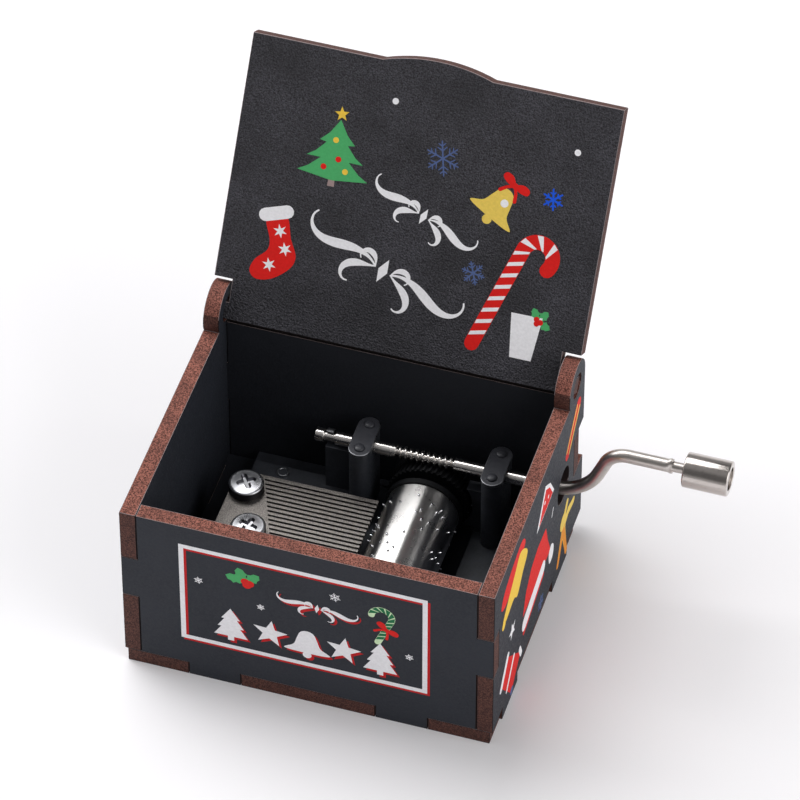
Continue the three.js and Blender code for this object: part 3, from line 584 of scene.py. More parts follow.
def dressed(node, body, materials, edge, number_of=None, edge_of=None):
    """A copy of a CAD node with rounded edges; number_of and edge_of give a face's material number."""
    mesh = frame["nodes"][node].data.copy()
    mesh.materials.clear()
    shape = bmesh.new()
    shape.from_mesh(mesh)
    bmesh.ops.remove_doubles(shape, verts=shape.verts, dist=WELD)
    bmesh.ops.dissolve_limit(shape, angle_limit=math.radians(0.6), verts=shape.verts, edges=shape.edges)
    shape.normal_update()
    for face in shape.faces:
        face.material_index = number_of(face) if number_of else 0
    crisp = [e for e in shape.edges if e.is_manifold and e.calc_face_angle() > math.radians(SHARP_ANGLE)]
    rounds = bmesh.ops.bevel(shape, geom=crisp, offset=edge, segments=2, profile=0.6, affect="EDGES",
                             clamp_overlap=False)["faces"]
    if edge_of:
        shape.normal_update()
        for face in rounds:
            face.material_index = edge_of(face)
    shape.to_mesh(mesh)
    shape.free()
    settle(node, mesh, body, materials, SHARP_ANGLE, True)


# Case and lid

def board_number(face, axis):
    """Painted faces and cut ones. A cut face that looks down or lines the crank's hole gets the dark
    scorch colour as painted shade; other cut faces that don't look up get a darker copy of the cut edge,
    painted shade too.
    """
    if abs(face.normal.dot(axis)) > 0.9:
        return OUTER if face.normal.dot(axis) > 0 else INNER
    middle = face.calc_center_median()
    across = math.hypot(middle.y - axle.y, middle.z - axle.z - CRANK_HOLE_RISE)
    if middle.x > axle.x - CRANK_HOLE_DEPTH and across < CRANK_HOLE_REACH or face.normal.z < -0.5:
        return SCORCH_SHADE
    # A cut face that doesn't look up gets the darker copy of the cut edge: painted shade.
    return TOP_CUT if face.normal.z > 0.4 and abs(axis.z) < 0.1 else SHADED_SIDE_CUT


def board_edge_number(face):
    """A bevel that faces up, or to the right and front, gets a pale line: the printed paper's edge,
    painted as a highlight only where light falls on it. The other bevels get the dark scorch colour,
    painted shade.
    """
    normal = face.normal
    return EDGE_HIGHLIGHT if normal.z > 0.3 or normal.x > 0.3 and normal.y < -0.3 else SCORCH_SHADE


def boards():
    lid_normal = Vector((0, math.sin(lid_angle), math.cos(lid_angle)))
    faces = {
        "base_panel": Vector((0, 0, -1)),
        "front_panel": Vector((0, -1, 0)), "back_panel": Vector((0, 1, 0)),
        "left_side_panel": Vector((-1, 0, 0)), "right_side_panel": Vector((1, 0, 0)),
        "lid_panel": lid_normal,
    }
    for node, axis in faces.items():
        body = "lid" if node == "lid_panel" else "case"
        # The left board's inner face takes the slightly darker outer paint, a painted shade against the
        # fill lamp's light on it; the lid's inner face has its own paint.
        inner = {"lid_panel": lid_face, "left_side_panel": board_face}.get(node, board_inner_lightened)
        # The back board's cut edges take the dark scorch colour: painted shade under the open lid.
        rim = scorch_shade if node == "back_panel" else board_cut
        materials = [board_face, rim, scorch_shade, board_edge_highlight, inner, board_cut_shaded]
        dressed(node, body, materials, BOARD_EDGE,
                lambda face, axis=axis: board_number(face, axis), board_edge_number)


# Movement

def bearing_cap(side):
    low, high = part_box(f"{side}_bearing_cap")
    centre = (low + high) / 2
    half_width = (high.x - low.x) / 2
    straight = (high.y - low.y) / 2 - half_width
    outline = []
    for first, middle in ((0, straight), (math.pi, -straight)):
        outline += arc(centre.x, centre.y + middle, half_width, first, first + math.pi, 24)
    plate = Shape()
    plate.prism(outline, "z", low.z, high.z)
    mesh = plate.mesh("cap")
    shape = bmesh.new()
    shape.from_mesh(mesh)
    rim = [e for e in shape.edges if e.calc_face_angle() > math.radians(60)]
    # The rim's rounding takes the bright worn-edge metal, partly a painted highlight.
    bmesh.ops.bevel(shape, geom=rim, offset=CAP_ROUNDING, segments=2, profile=0.5, affect="EDGES",
                    material=1)
    shape.to_mesh(mesh)
    shape.free()
    name = f"{side}_bearing_cap"
    settle(name, mesh, "case", [cap_black, worn_edge_highlight], 50, True)
    for end in ("front", "rear"):
        cap_rivet(f"{side}_cap_rivet_{end}", high.z)


def cap_rivet(node, seat):
    low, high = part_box(node)
    centre = (low + high) / 2
    radius = (high.x - low.x) / 2
    foot = seat + RIVET_FOOT
    profile = [(0, low.z), (radius / 2, low.z), (radius / 2, seat), (radius * 0.96, seat)]
    steps = 12
    for i in range(steps):
        angle = i / steps * math.pi / 2
        profile.append((radius * math.cos(angle) ** 0.8, foot + (high.z - foot) * math.sin(angle)))
    profile.append((0, high.z))
    head = Shape()
    head.turned(profile, "z", centre, 40)
    settle(node, head.mesh(node), "case", [cap_black], 50)


def axle_clip():
    low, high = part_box("axle_clip")
    inner = NECK_RADIUS + CLIP_GAP
    outer = inner + CLIP_THICKNESS
    outline = [(axle.y + inner, low.z), (axle.y + outer, low.z)]
    outline += arc(axle.y, axle.z, outer, 0, CLIP_WRAP, 20)
    outline += arc(axle.y, axle.z, inner, CLIP_WRAP, 0, 20)
    strip = Shape()
    strip.prism(outline, "x", low.x, high.x)
    settle("axle_clip", strip.mesh("clip"), "case", [zinc_steel])


def cross_cutter(centre, top, turn):
    """Two crossed bars that narrow downwards, for a cross recess."""
    cutter = Shape()
    for quarter in (0, 90):
        spin = Matrix.Rotation(math.radians(turn + quarter), 3, "Z")
        levels = []
        for share, z in ((1.25, top + CROSS_DEPTH), (1, top), (0.42, top - CROSS_DEPTH)):
            length = CROSS_LENGTH / 2 * (0.55 + 0.45 * share)
            width = CROSS_WIDTH / 2 * share
            ring = []
            for u, v in rounded([(-length, -width, width), (length, -width, width),
                                 (length, width, width), (-length, width, width)], True, 3):
                point = spin @ Vector((u, v, 0))
                ring.append((centre.x + point.x, centre.y + point.y, z))
            levels.append(ring)
        cutter.stack(levels)
    return cutter


def carve(mesh, cutter):
    """Cuts a cutter's solids out of a mesh and returns the new mesh."""
    body = linked("carved", mesh)
    tool = linked("tool", cutter.mesh("tool"))
    for item in (body, tool):
        outward(item.data)
    difference = body.modifiers.new("cut", "BOOLEAN")
    difference.operation = "DIFFERENCE"
    difference.solver = "EXACT"
    difference.use_self = True
    difference.object = tool
    ready = body.evaluated_get(bpy.context.evaluated_depsgraph_get())
    result = bpy.data.meshes.new_from_object(ready)
    for item in (body, tool):
        bpy.data.objects.remove(item)
    return result


def comb_screw(node):
    low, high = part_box(node)
    centre = (low + high) / 2
    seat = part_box("comb")[1].z
    radius = (high.x - low.x) / 2
    crown = radius * SCREW_CROWN_SHARE
    shoulder = seat + SCREW_SIDE
    profile = [
        (0, low.z), (SCREW_RADIUS * 0.8, low.z), (SCREW_RADIUS, low.z + SCREW_POINT),
        (SCREW_RADIUS, seat), (radius - SCREW_FOOT, seat), (radius, seat + SCREW_FOOT),
        (radius, shoulder - SCREW_SHOULDER)]
    rise = high.z - SCREW_DOME - shoulder
    profile += arc(crown, shoulder, radius - crown, 0, math.pi / 2, 14, rise)
    profile += [(crown * share, high.z - SCREW_DOME * share ** 2) for share in (0.75, 0.5, 0.25, 0)]
    head = Shape()
    head.turned(profile, "z", centre, 72)
    mesh = carve(head.mesh(node), cross_cutter(centre, high.z, CROSS_TURNS[node]))
    # The head's sides and the recess walls take the darker copies of the metal: painted shade.
    for face in mesh.polygons:
        side = face.center.z < shoulder and abs(face.normal.z) < 0.3
        wall = (face.center - centre).xy.length < crown * 0.96 and abs(face.normal.z) < 0.75
        face.material_index = 1 if side else 2 if wall else 0
    settle(node, mesh, "case", [screw_nickel, screw_side_shaded, recess_wall_shaded], 38)


def pin_places():
    """Each pin's beat and note: a melody that winds along the comb, and a bass note now and then."""
    places = set()
    for beat in range(BEATS):
        turn = 2 * math.pi * beat / BEATS
        swing = math.sin(MELODY_TURNS * turn) * (1 - TRILL_SHARE)
        swing += math.sin(TRILL_TURNS * turn) * TRILL_SHARE
        places.add((beat, math.floor((NOTES - 1) * (1 - swing) / 2 + 1 / 2)))
        if beat % BASS_EVERY == 0:
            places.add((beat, beat // BASS_EVERY % BASS_EVERY))
    return sorted(places)


def pin_drum():
    low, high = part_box("pin_drum")
    inner = DRUM_RADIUS - DRUM_TUBE
    drum = Shape()
    tube = rounded([
        (inner, low.y), (DRUM_RADIUS, low.y, DRUM_FRONT_ROUNDING),
        (DRUM_RADIUS, high.y, DRUM_REAR_ROUNDING), (inner, high.y), (inner, low.y)])
    drum.turned(tube, "y", drum_axis, 128)
    first_note = high.y - COMB_MARGIN - NOTE_PITCH / 2
    for beat, note in pin_places():
        turn = 2 * math.pi * beat / BEATS
        upright = Vector((math.sin(turn), 0, math.cos(turn)))
        across = Vector((math.cos(turn), 0, -math.sin(turn)))
        foot = Vector((drum_axis.x, first_note - note * NOTE_PITCH, drum_axis.z))
        rings = [[foot + upright * (DRUM_RADIUS - PIN_SINK)]]
        for height, share in ((DRUM_RADIUS - PIN_SINK, 1), (PIN_TIP - PIN_SHOULDER, 1),
                              (PIN_TIP - PIN_CROWN, PIN_CROWN_SHARE)):
            middle = foot + upright * height
            outline = circle(0, 0, PIN_RADIUS * share, 12)
            rings.append([middle + across * u + Vector((0, v, 0)) for u, v in outline])
        rings.append([foot + upright * PIN_TIP])
        drum.rings(rings, 1)
    settle("pin_drum", drum.mesh("pin_drum"), "drum", [drum_metal, pin_steel])


def drum_turnings():
    """The round pieces on the drum's axis: end cap, arbor and the two bushings."""
    def add(node, body, material, corners):
        part = Shape()
        part.turned(rounded(corners), "y", drum_axis, 64)
        settle(node, part.mesh(node), body, [material])

    low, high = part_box("drum_end_cap")
    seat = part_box("pin_drum")[0].y
    add("drum_end_cap", "drum", bushing_brass, [
        (ARBOR_HOLE, low.y), (DRUM_RADIUS, low.y, FINE_EDGE), (DRUM_RADIUS, seat, FINE_EDGE),
        (PLUG_RADIUS, seat), (PLUG_RADIUS, high.y), (ARBOR_HOLE, high.y), (ARBOR_HOLE, low.y)])
    low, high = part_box("drum_arbor")
    add("drum_arbor", "drum", zinc_steel, [
        (0, low.y), (ARBOR_RADIUS, low.y, ARBOR_CHAMFER), (ARBOR_RADIUS, high.y, ARBOR_CHAMFER),
        (0, high.y)])
    for node in ("front_bushing", "rear_bushing"):
        low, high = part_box(node)
        add(node, "case", bushing_brass, [
            (ARBOR_HOLE, low.y), (BUSHING_RADIUS, low.y, FINE_EDGE), (BUSHING_RADIUS, high.y, FINE_EDGE),
            (ARBOR_HOLE, high.y), (ARBOR_HOLE, low.y)])


def boss_cap():
    """The riveted stud behind the comb: a bare metal ring round a shallow dished middle, all of one
    metal.
    """
    centre = Vector((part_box("bedplate")[0].x + BOSS_INSET, axle.y - BOSS_SETBACK, 0))
    foot = BOSS_TOP - BOSS_DEPTH
    floor = BOSS_TOP - BOSS_DISH
    lip, dish = (BOSS_RADIUS * share for share in BOSS_DISH_SHARES)
    cap = Shape()
    cap.turned(rounded([
        (0, foot), (BOSS_RADIUS, foot), (BOSS_RADIUS, BOSS_TOP, FINE_EDGE),
        (lip, BOSS_TOP, BOSS_ROUNDING), (dish, floor, BOSS_ROUNDING), (0, floor)]), "z", centre, 36)
    settle("boss_cap", cap.mesh("boss_cap"), "case", [zinc_steel])


def movement():
    dressed("bedplate", "case", [black_casting], BED_EDGE)
    boss_cap()
    dressed("comb", "case", [comb_metal], COMB_EDGE)
    dressed("worm_wheel", "drum", [wheel_plastic], WHEEL_EDGE)
    for place in ("rear_left", "rear_right", "front_right"):
        dressed("bed_screw_" + place, "case", [zinc_steel], BED_SCREW_EDGE)
    for side in ("left", "right"):
        bearing_cap(side)
    axle_clip()
    for node in CROSS_TURNS:
        comb_screw(node)
    pin_drum()
    drum_turnings()


# Crank

def thread_radius(x, angle):
    """The worm's radius at x, at an angle from +Y towards +Z round the axle."""
    turn = (x - drum_axis.x) / WORM_PITCH - 1 / 4 - angle / (2 * math.pi)
    from_crest = abs(turn - round(turn)) * WORM_PITCH
    share = (from_crest - WORM_CREST_HALF) / (WORM_ROOT_HALF - WORM_CREST_HALF)
    return WORM_CREST - (WORM_CREST - WORM_ROOT) * min(max(share, 0), 1)


def crank_rod():
    """One rod: rings from its headed left end through worm, bends and crimp to its peened end."""
    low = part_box("crank_axle")[0]
    knob_low, knob_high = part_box("crank_knob")
    case_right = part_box("right_side_panel")[1].x
    radius = ROD_RADIUS
    around = 56
    rings = []

    def ring(x, z, reach, lean=0.0):
        """A ring at (x, z), tilted by lean. Its radius is reach, or reach of the angle round the rod."""
        middle = Vector((x, axle.y, z))
        if reach == 0:
            rings.append([middle])
            return
        up = Vector((-math.sin(lean), 0, math.cos(lean)))
        points = []
        for i in range(around):
            angle = 2 * math.pi * i / around
            side = Vector((0, math.cos(angle), 0)) + up * math.sin(angle)
            points.append(middle + side * (reach(angle) if callable(reach) else reach))
        rings.append(points)

    def turned(z, corners):
        for x, reach in rounded(corners):
            ring(x, z, reach)

    neck = low.x + HEAD_LENGTH
    worm_left = drum_axis.x - WORM_OFFSET - WORM_LENGTH / 2
    worm_right = worm_left + WORM_LENGTH
    worm_from = worm_left + WORM_RELIEF
    worm_to = worm_right - WORM_RELIEF
    relief = WORM_ROOT * WORM_CORE_SHARE
    turned(axle.z, [
        (low.x, 0), (low.x, radius, HEAD_ROUNDING), (neck, radius, ROD_ROUNDING),
        (neck, NECK_RADIUS, ROD_ROUNDING), (neck + NECK_LENGTH, NECK_RADIUS, ROD_ROUNDING),
        (neck + NECK_LENGTH, radius, ROD_ROUNDING), (worm_left, radius, ROD_ROUNDING),
        (worm_left, relief, ROD_ROUNDING), (worm_from, relief)])
    slices = 130
    for i in range(1, slices):
        x = worm_from + (worm_to - worm_from) * i / slices
        from_end = min(x - worm_from, worm_to - x)
        limit = relief + from_end * WORM_RUN_OUT
        ring(x, axle.z, lambda angle: min(thread_radius(x, angle), limit))
    bend_start = case_right - BEND_LEAD_IN
    turned(axle.z, [
        (worm_to, relief), (worm_right, relief, ROD_ROUNDING), (worm_right, radius, ROD_ROUNDING),
        (bend_start, radius)])

    bends = LOWER_BEND_RADIUS + UPPER_BEND_RADIUS
    slope = (handle.z - axle.z - bends * (1 - math.cos(BEND_ANGLE))) / math.tan(BEND_ANGLE)
    arm_end = bend_start + bends * math.sin(BEND_ANGLE) + slope
    steps = 20
    leans = [i / steps * BEND_ANGLE for i in range(1, steps + 1)]
    for lean in leans:
        ring(bend_start + LOWER_BEND_RADIUS * math.sin(lean),
             axle.z + LOWER_BEND_RADIUS * (1 - math.cos(lean)), radius, lean)
    for lean in leans[::-1] + [0]:
        ring(arm_end - UPPER_BEND_RADIUS * math.sin(lean),
             handle.z - UPPER_BEND_RADIUS * (1 - math.cos(lean)), radius, lean)

    rod_end = knob_low.x - KNOB_STAND_OFF
    crimp_steps = 14
    for i in range(crimp_steps + 1):
        share = i / crimp_steps
        ear = math.sin(math.pi * min(share * 1.25, 1) / 2) ** 2 * (1 if share < 0.85 else 0.9)

        def reach(angle, ear=ear):
            lift = abs(math.sin(angle)) ** 5
            pinch = abs(math.cos(angle)) ** 2
            return radius * (1 + ear * (EAR_SHARE * lift - PINCH_SHARE * pinch))
        ring(rod_end - CRIMP_LENGTH * (1 - share), handle.z, reach)
    seat = knob_high.x - KNOB_RECESS_DEPTH + PEENED_LIFT
    tip = seat + PEENED_LENGTH
    turned(handle.z, [
        (rod_end, radius * 0.72), (rod_end, SPINDLE_RADIUS), (seat, SPINDLE_RADIUS),
        (seat, PEENED_RADIUS, FINE_EDGE), (seat + PEENED_LENGTH * 0.6, PEENED_RADIUS, PEENED_ROUNDING),
        (tip, SPINDLE_RADIUS * 0.6, PEENED_TIP_ROUNDING), (tip, 0)])
    rod = Shape()
    rod.rings(rings)
    mesh = rod.mesh("crank_axle")
    for face in mesh.polygons:
        face.material_index = 1 if face.center.x < bend_start else 0
    settle("crank_axle", mesh, "crank", [crank_nickel, axle_nickel])


def crank_knob():
    low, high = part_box("crank_knob")
    radius = (high.z - low.z) / 2
    floor = high.x - KNOB_RECESS_DEPTH
    profile = rounded([
        (KNOB_BORE, low.x), (radius, low.x, KNOB_ROUNDING), (radius, high.x, KNOB_ROUNDING),
        (KNOB_RECESS_RADIUS, high.x, KNOB_RECESS_ROUNDING), (KNOB_RECESS_RADIUS, floor),
        (KNOB_BORE, floor), (KNOB_BORE, low.x)], steps=6)
    knob = Shape()
    knob.turned(profile, "x", handle, 96)
    settle("crank_knob", knob.mesh("crank_knob"), "knob", [knob_nickel])


# Printed motifs, drawn in millimetres on a panel's face


def smooth(corners, steps=6):
    """A closed curve through the corners."""
    points = []
    count = len(corners)
    for i in range(count):
        a, b, c, d = (Vector(corners[(i + k) % count]) for k in (-1, 0, 1, 2))
        for step in range(steps):
            t = step / steps
            point = 2 * b + (c - a) * t + (2 * a - 5 * b + 4 * c - d) * t ** 2
            point += (3 * b - a - 3 * c + d) * t ** 3
            points.append(tuple(point / 2))
    return points


def moved(points, place, size=1.0, turn=0.0):
    """Points scaled, turned by degrees and moved to a place."""
    c, s = math.cos(math.radians(turn)), math.sin(math.radians(turn))
    return [(place[0] + size * (u * c - v * s), place[1] + size * (u * s + v * c)) for u, v in points]


def star(points=5, inner=0.42):
    return [((1 if i % 2 == 0 else inner) * math.sin(math.pi * i / points),
             (1 if i % 2 == 0 else inner) * math.cos(math.pi * i / points)) for i in range(2 * points)]


def fir():
    """A plain fir tree of three tiers on a short trunk."""
    half = [(0.5, 0), (0.5, 0.9), (2.7, 0.9), (1.5, 2.9), (2.1, 2.9), (1, 4.8), (1.5, 4.8), (0, 7.2)]
    return half + [(-u, v) for u, v in half[-2::-1]]


def stroke(path, widths):
    """The outline of a line with round ends, its width given at each point."""
    left, right = [], []
    last = len(path) - 1
    for i, (u, v) in enumerate(path):
        before, after = path[max(i - 1, 0)], path[min(i + 1, last)]
        along = Vector((after[0] - before[0], after[1] - before[1])).normalized()
        half = widths[i] / 2
        left.append((u - along.y * half, v + along.x * half))
        right.append((u + along.y * half, v - along.x * half))

    def cap(end, neighbour):
        u, v = path[end]
        along = math.atan2(v - path[neighbour][1], u - path[neighbour][0])
        return arc(u, v, widths[end] / 2, along + math.pi / 2, along - math.pi / 2, 6)[1:-1]
    return left + cap(last, last - 1) + right[::-1] + cap(0, 1)


def curl(length, heading, bend_from, bend_to, power=1.0, steps=44):
    """A path from the origin whose bend, in degrees for each millimetre, changes along it."""
    points = [(0.0, 0.0)]
    angle = math.radians(heading)
    pace = length / steps
    for i in range(steps):
        share = (i + 0.5) / steps
        angle += math.radians(bend_from + (bend_to - bend_from) * share ** power) * pace
        points.append((points[-1][0] + pace * math.cos(angle), points[-1][1] + pace * math.sin(angle)))
    return points


def brush(count, thin, thick, peak=0.45):
    """Widths of a brush line, thickest where peak says."""
    widths = []
    for i in range(count):
        share = i / (count - 1)
        rise = share / peak if share < peak else (1 - share) / (1 - peak)
        widths.append(thin + (thick - thin) * math.sin(rise * math.pi / 2) ** 2)
    return widths


class Print:
    """The printed film on one face, with u across it and v up it."""

    def __init__(self, name, body, origin, across, up):
        self.name = name
        self.body = body
        self.origin = origin
        self.across = across
        self.up = up
        self.normal = across.cross(up)
        self.shape = Shape()
        self.colours = []
        self.drawn = 0

    def add(self, points, colour, layer=1):
        """A filled outline. Shapes of one layer end at slightly different heights, never coplanar."""
        if colour not in self.colours:
            self.colours.append(colour)
        stagger = self.drawn % STAGGER_COUNT / STAGGER_COUNT / 2
        self.drawn += 1
        flat = [self.origin + (self.across * u + self.up * v) * MM for u, v in points]
        rings = [[point + self.normal * lift for point in flat]
                 for lift in (-FILM_BASE, FILM * (layer + stagger))]
        self.shape.stack(rings, self.colours.index(colour))

    def finish(self):
        mesh = self.shape.mesh(self.name)
        materials = [inks[colour] for colour in self.colours]
        settle(self.name, mesh, self.body, materials, 30)

    # Motifs: each is an ornament in everyday use

    def snowflake(self, place, radius, colour, turn=0.0, width=0.28, twigs=((0.45, 0.34), (0.72, 0.24))):
        for arm in range(6):
            angle = turn + 60 * arm
            self.add(moved(stroke([(0, 0), (0, radius)], [width, width * 0.8]), place, 1, angle), colour)
            for share, length in twigs:
                for side in (-1, 1):
                    tip = (side * length * radius * 0.8, (share + length * 0.6) * radius)
                    line = stroke([(0, share * radius), tip], [width * 0.8, width * 0.6])
                    self.add(moved(line, place, 1, angle), colour)

    def tree(self, base, width, height):
        half = width / 2
        tiers = ((1, 0.02, 0.4), (0.8, 0.3, 0.3), (0.5, 0.6, 0))
        side = []
        for reach, level, notch in tiers:
            top = level + 0.26 if notch else 1
            side.append((half * reach, height * level))
            side.append((half * (reach * 0.5 + notch * 0.55), height * (level * 0.62 + top * 0.38)))
            side.append((half * notch, height * (top + 0.02 if notch else top)))
        outline = [(0, -0.06 * height)] + side + [(-u, v) for u, v in side[-2::-1]]
        self.add(moved([(-0.6, -1.6), (0.6, -1.6), (0.5, 0), (-0.5, 0)], base), "brown")
        self.add(moved(outline, base), "green", 2)
        balls = (
            (-0.05, 0.64, "yellow"), (0.1, 0.32, "red"), (-0.28, 0.15, "red"), (0.34, 0.13, "yellow"))
        for u, v, colour in balls:
            self.add(circle(base[0] + u * half, base[1] + v * height, 0.5), colour, 3)
        self.add(moved(star(), (base[0], base[1] + height * 1.1), 1.3, 8), "yellow", 2)

    def stocking(self, ankle, size, turn):
        foot = smooth([(-1, 0.1), (0.95, 0.1), (1.05, -2.2), (1.25, -3.9), (0.5, -5), (-1.4, -5.75),
                       (-3, -5.6), (-3.5, -4.7), (-2.8, -3.7), (-1.5, -3), (-1.05, -2)])
        self.add(moved(foot, ankle, size, turn), "red", 1)
        cuff = stroke([(-1.1, 0.45), (1.1, 0.45)], [1.3, 1.3])
        self.add(moved(cuff, ankle, size, turn), "white", 2)
        for u, v in ((0.1, -1.3), (0.3, -3.1), (-1.5, -4.4)):
            place = moved([(u, v)], ankle, size, turn)[0]
            self.add(moved(star(6, 0.4), place, 0.7 * size, turn), "white", 2)

    def bell(self, mouth, size, turn, body="gold", shine="white", layer=2):
        half = [(-2, -0.28), (-3.7, -0.1), (-3.75, 0.25), (-2.3, 1.3), (-1.75, 2.9), (-1.25, 4.3),
                (-0.5, 4.9)]
        outline = half + [(-u, v) for u, v in half[::-1]]
        self.add(moved(circle(0, -0.75, 0.75), mouth, size, turn), body, layer - 1)
        self.add(moved(smooth(outline, 5), mouth, size, turn), body, layer)
        if shine:
            self.add(moved(circle(0.6, 2.9, 0.62), mouth, size, turn), shine, layer + 1)

    def bow(self, knot, size, turn):
        for side in (-1, 1):
            loop = smooth([(0, 0.2), (side * 1.1, 1.05), (side * 2.3, 0.95), (side * 2.5, 0.1),
                           (side * 1.4, -0.35), (0, -0.25)])
            self.add(moved(loop, knot, size, turn), "red", 3)
            tail = stroke([(0, 0), (side * 0.9, -0.9), (side * 1.5, -2)], [0.45, 0.5, 0.6])
            self.add(moved(tail, knot, size, turn), "red", 3)
        self.add(moved(circle(0, 0, 0.5), knot, size, turn), "red", 4)

    def cane(self, foot, lean, stem, bend, width, body, stripe, gap=2.4, mirror=1):
        """A hooked stick: a straight stem, then a bend over 200 degrees, with slanting stripes."""
        path = [(0.0, 0.0)]
        angle = math.radians(90)
        pace = 0.25
        sweep = math.radians(200) * bend
        count = round((stem + sweep) / pace)
        for i in range(count):
            if (i + 0.5) * pace > stem:
                angle -= mirror * pace / bend
            path.append((path[-1][0] + pace * math.cos(angle), path[-1][1] + pace * math.sin(angle)))
        path = moved(path, foot, 1, lean)
        self.add(stroke(path, [width] * len(path)), body, 1)
        every = round(gap / pace)
        slant = round(width * 0.55 / pace)
        for start in range(every // 2, len(path) - slant - 4, every):
            bar = []
            for index, side in ((start, 1), (start + 3, 1), (start + slant + 3, -1), (start + slant, -1)):
                here, after = Vector(path[index]), Vector(path[min(index + 1, len(path) - 1)])
                along = (after - here).normalized()
                bar.append(tuple(here + Vector((-along.y, along.x)) * side * width * 0.47))
            self.add(bar, stripe, 2)

    def leaf(self, foot, length, turn):
        edge = [(0, 0), (0.22, 0.2), (0.2, 0.38), (0.34, 0.5), (0.24, 0.64), (0.22, 0.82), (0, 1)]
        outline = edge + [(-u, v) for u, v in edge[-2:0:-1]]
        self.add(moved(outline, foot, length, turn), "green")

    def scroll(self, place, size, turn, colour, layer, thick):
        """A traditional divider: two mirrored scrolls and their tendrils round a diamond."""
        lines = [
            (curl(9.5, 38, -22, 58, 1.6), 0.18, 1),
            (curl(5.2, -28, 14, -95, 1.3), 0.15, 0.8),
            (curl(3.2, 78, -30, -110, 1.2), 0.12, 0.6)]
        for side in (-1, 1):
            for path, thin, share in lines:
                line = [(side * (u + 0.9), v) for u, v in path]
                drawn = stroke(line, brush(len(line), thin, thick * share))
                self.add(moved(drawn, place, size, turn), colour, layer)
        self.add(moved([(0, 1.3), (0.5, 0), (0, -1.3), (-0.5, 0)], place, size, turn), colour, layer)


def lid_print():
    up = Vector((0, math.sin(lid_angle - math.pi / 2), math.cos(lid_angle - math.pi / 2)))
    right = Vector((1, 0, 0))
    art = Print("lid_print", "lid", hinge + right.cross(up) * LID_THICKNESS / 2, right, up)
    art.tree((-14.8, 26.2), 12.2, 9.8)
    art.stocking((-22.9, 17.4), 1.75, 18)
    art.snowflake((3.3, 33.2), 2.9, "frost", 12)
    art.snowflake((22.8, 30.3), 1.75, "blue", 8, 0.36, ((0.5, 0.3),))
    art.snowflake((11.6, 15.3), 1.95, "frost", 20)
    art.bell((12.7, 25.5), 1.1, -29)
    art.bow((16.1, 31.2), 1.05, -30)
    art.cane((13.3, 3.6), -19, 18.4, 2.65, 2.5, "red", "white", 2.2)
    art.add([(19.1, 10.2), (20, 2.7), (23.7, 2.7), (24.5, 10.3)], "white")
    for turn in (28, -38, -115):
        art.leaf((23.8, 9.6), 2.4, turn)
    for u, v in ((23.5, 9.9), (24.2, 9.5), (23.6, 9.2)):
        art.add(circle(u, v, 0.48), "red", 3)
    for place in ((-6.2, 41), (25.5, 38.9)):
        art.add(circle(*place, 0.55), "white")
    art.scroll((1.7, 22.9), 1.15, -23, "white", 2, 1.15)
    art.scroll((-3.6, 12.4), 1.7, -21, "white", 2, 0.95)
    art.finish()


def front_print():
    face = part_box("front_panel")[0].y
    art = Print("front_print", "case", Vector((0, face, 0)), Vector((1, 0, 0)), Vector((0, 0, 1)))
    left, right, bottom, top, bar = -21.9, 20.7, 8.9, 31.8, 0.85
    for shift, colour, layer in ((0.45, "dark_red", 1), (0, "white", 2)):
        l, r, b, t = left + shift, right + shift, bottom - shift, top - shift
        for band in ([(l, t), (r, t), (r - bar, t - bar), (l + bar, t - bar)],
                     [(l, b), (r, b), (r - bar, b + bar), (l + bar, b + bar)],
                     [(l, t), (l, b), (l + bar, b + bar), (l + bar, t - bar)],
                     [(r, t), (r, b), (r - bar, b + bar), (r - bar, t - bar)]):
            art.add(band, colour, layer)
    for u, v, radius in ((-18.6, 23.9, 0.75), (-7.9, 20.8, 0.65), (4.9, 27.4, 0.95), (17.6, 16.9, 0.7)):
        art.snowflake((u, v), radius, "white", 10, 0.16, ((0.5, 0.34),))
    for turn in (75, 20, -48):
        art.leaf((-10.6, 26), 3.4, turn)
    for u, v in ((-10.5, 26.2), (-9.7, 25.9), (-10.2, 25.4)):
        art.add(circle(u, v, 0.75), "red", 3)
    art.cane((12.2, 18.9), -22, 6.2, 1.75, 1.15, "pale_green", "dark_green", 1.1, -1)
    art.bow((13.7, 22.3), 0.85, -35)
    for shift, colour, layer in ((0.45, "dark_red", 2), (0, "white", 3)):
        art.scroll((1.8 + shift, 23.6 - shift), 0.8, -6, colour, layer, 1.15)
        for u in (-13.2, 12.6):
            art.add(moved(fir(), (u + shift, 10.9 - shift), 1.08), colour, layer)
        for u in (-6.4, 6.3):
            art.add(moved(star(), (u + shift, 14.9 - shift), 3.1, -6), colour, layer)
        art.bell((shift, 12.4 - shift), 1.02, 0, colour, None, layer)
    art.finish()


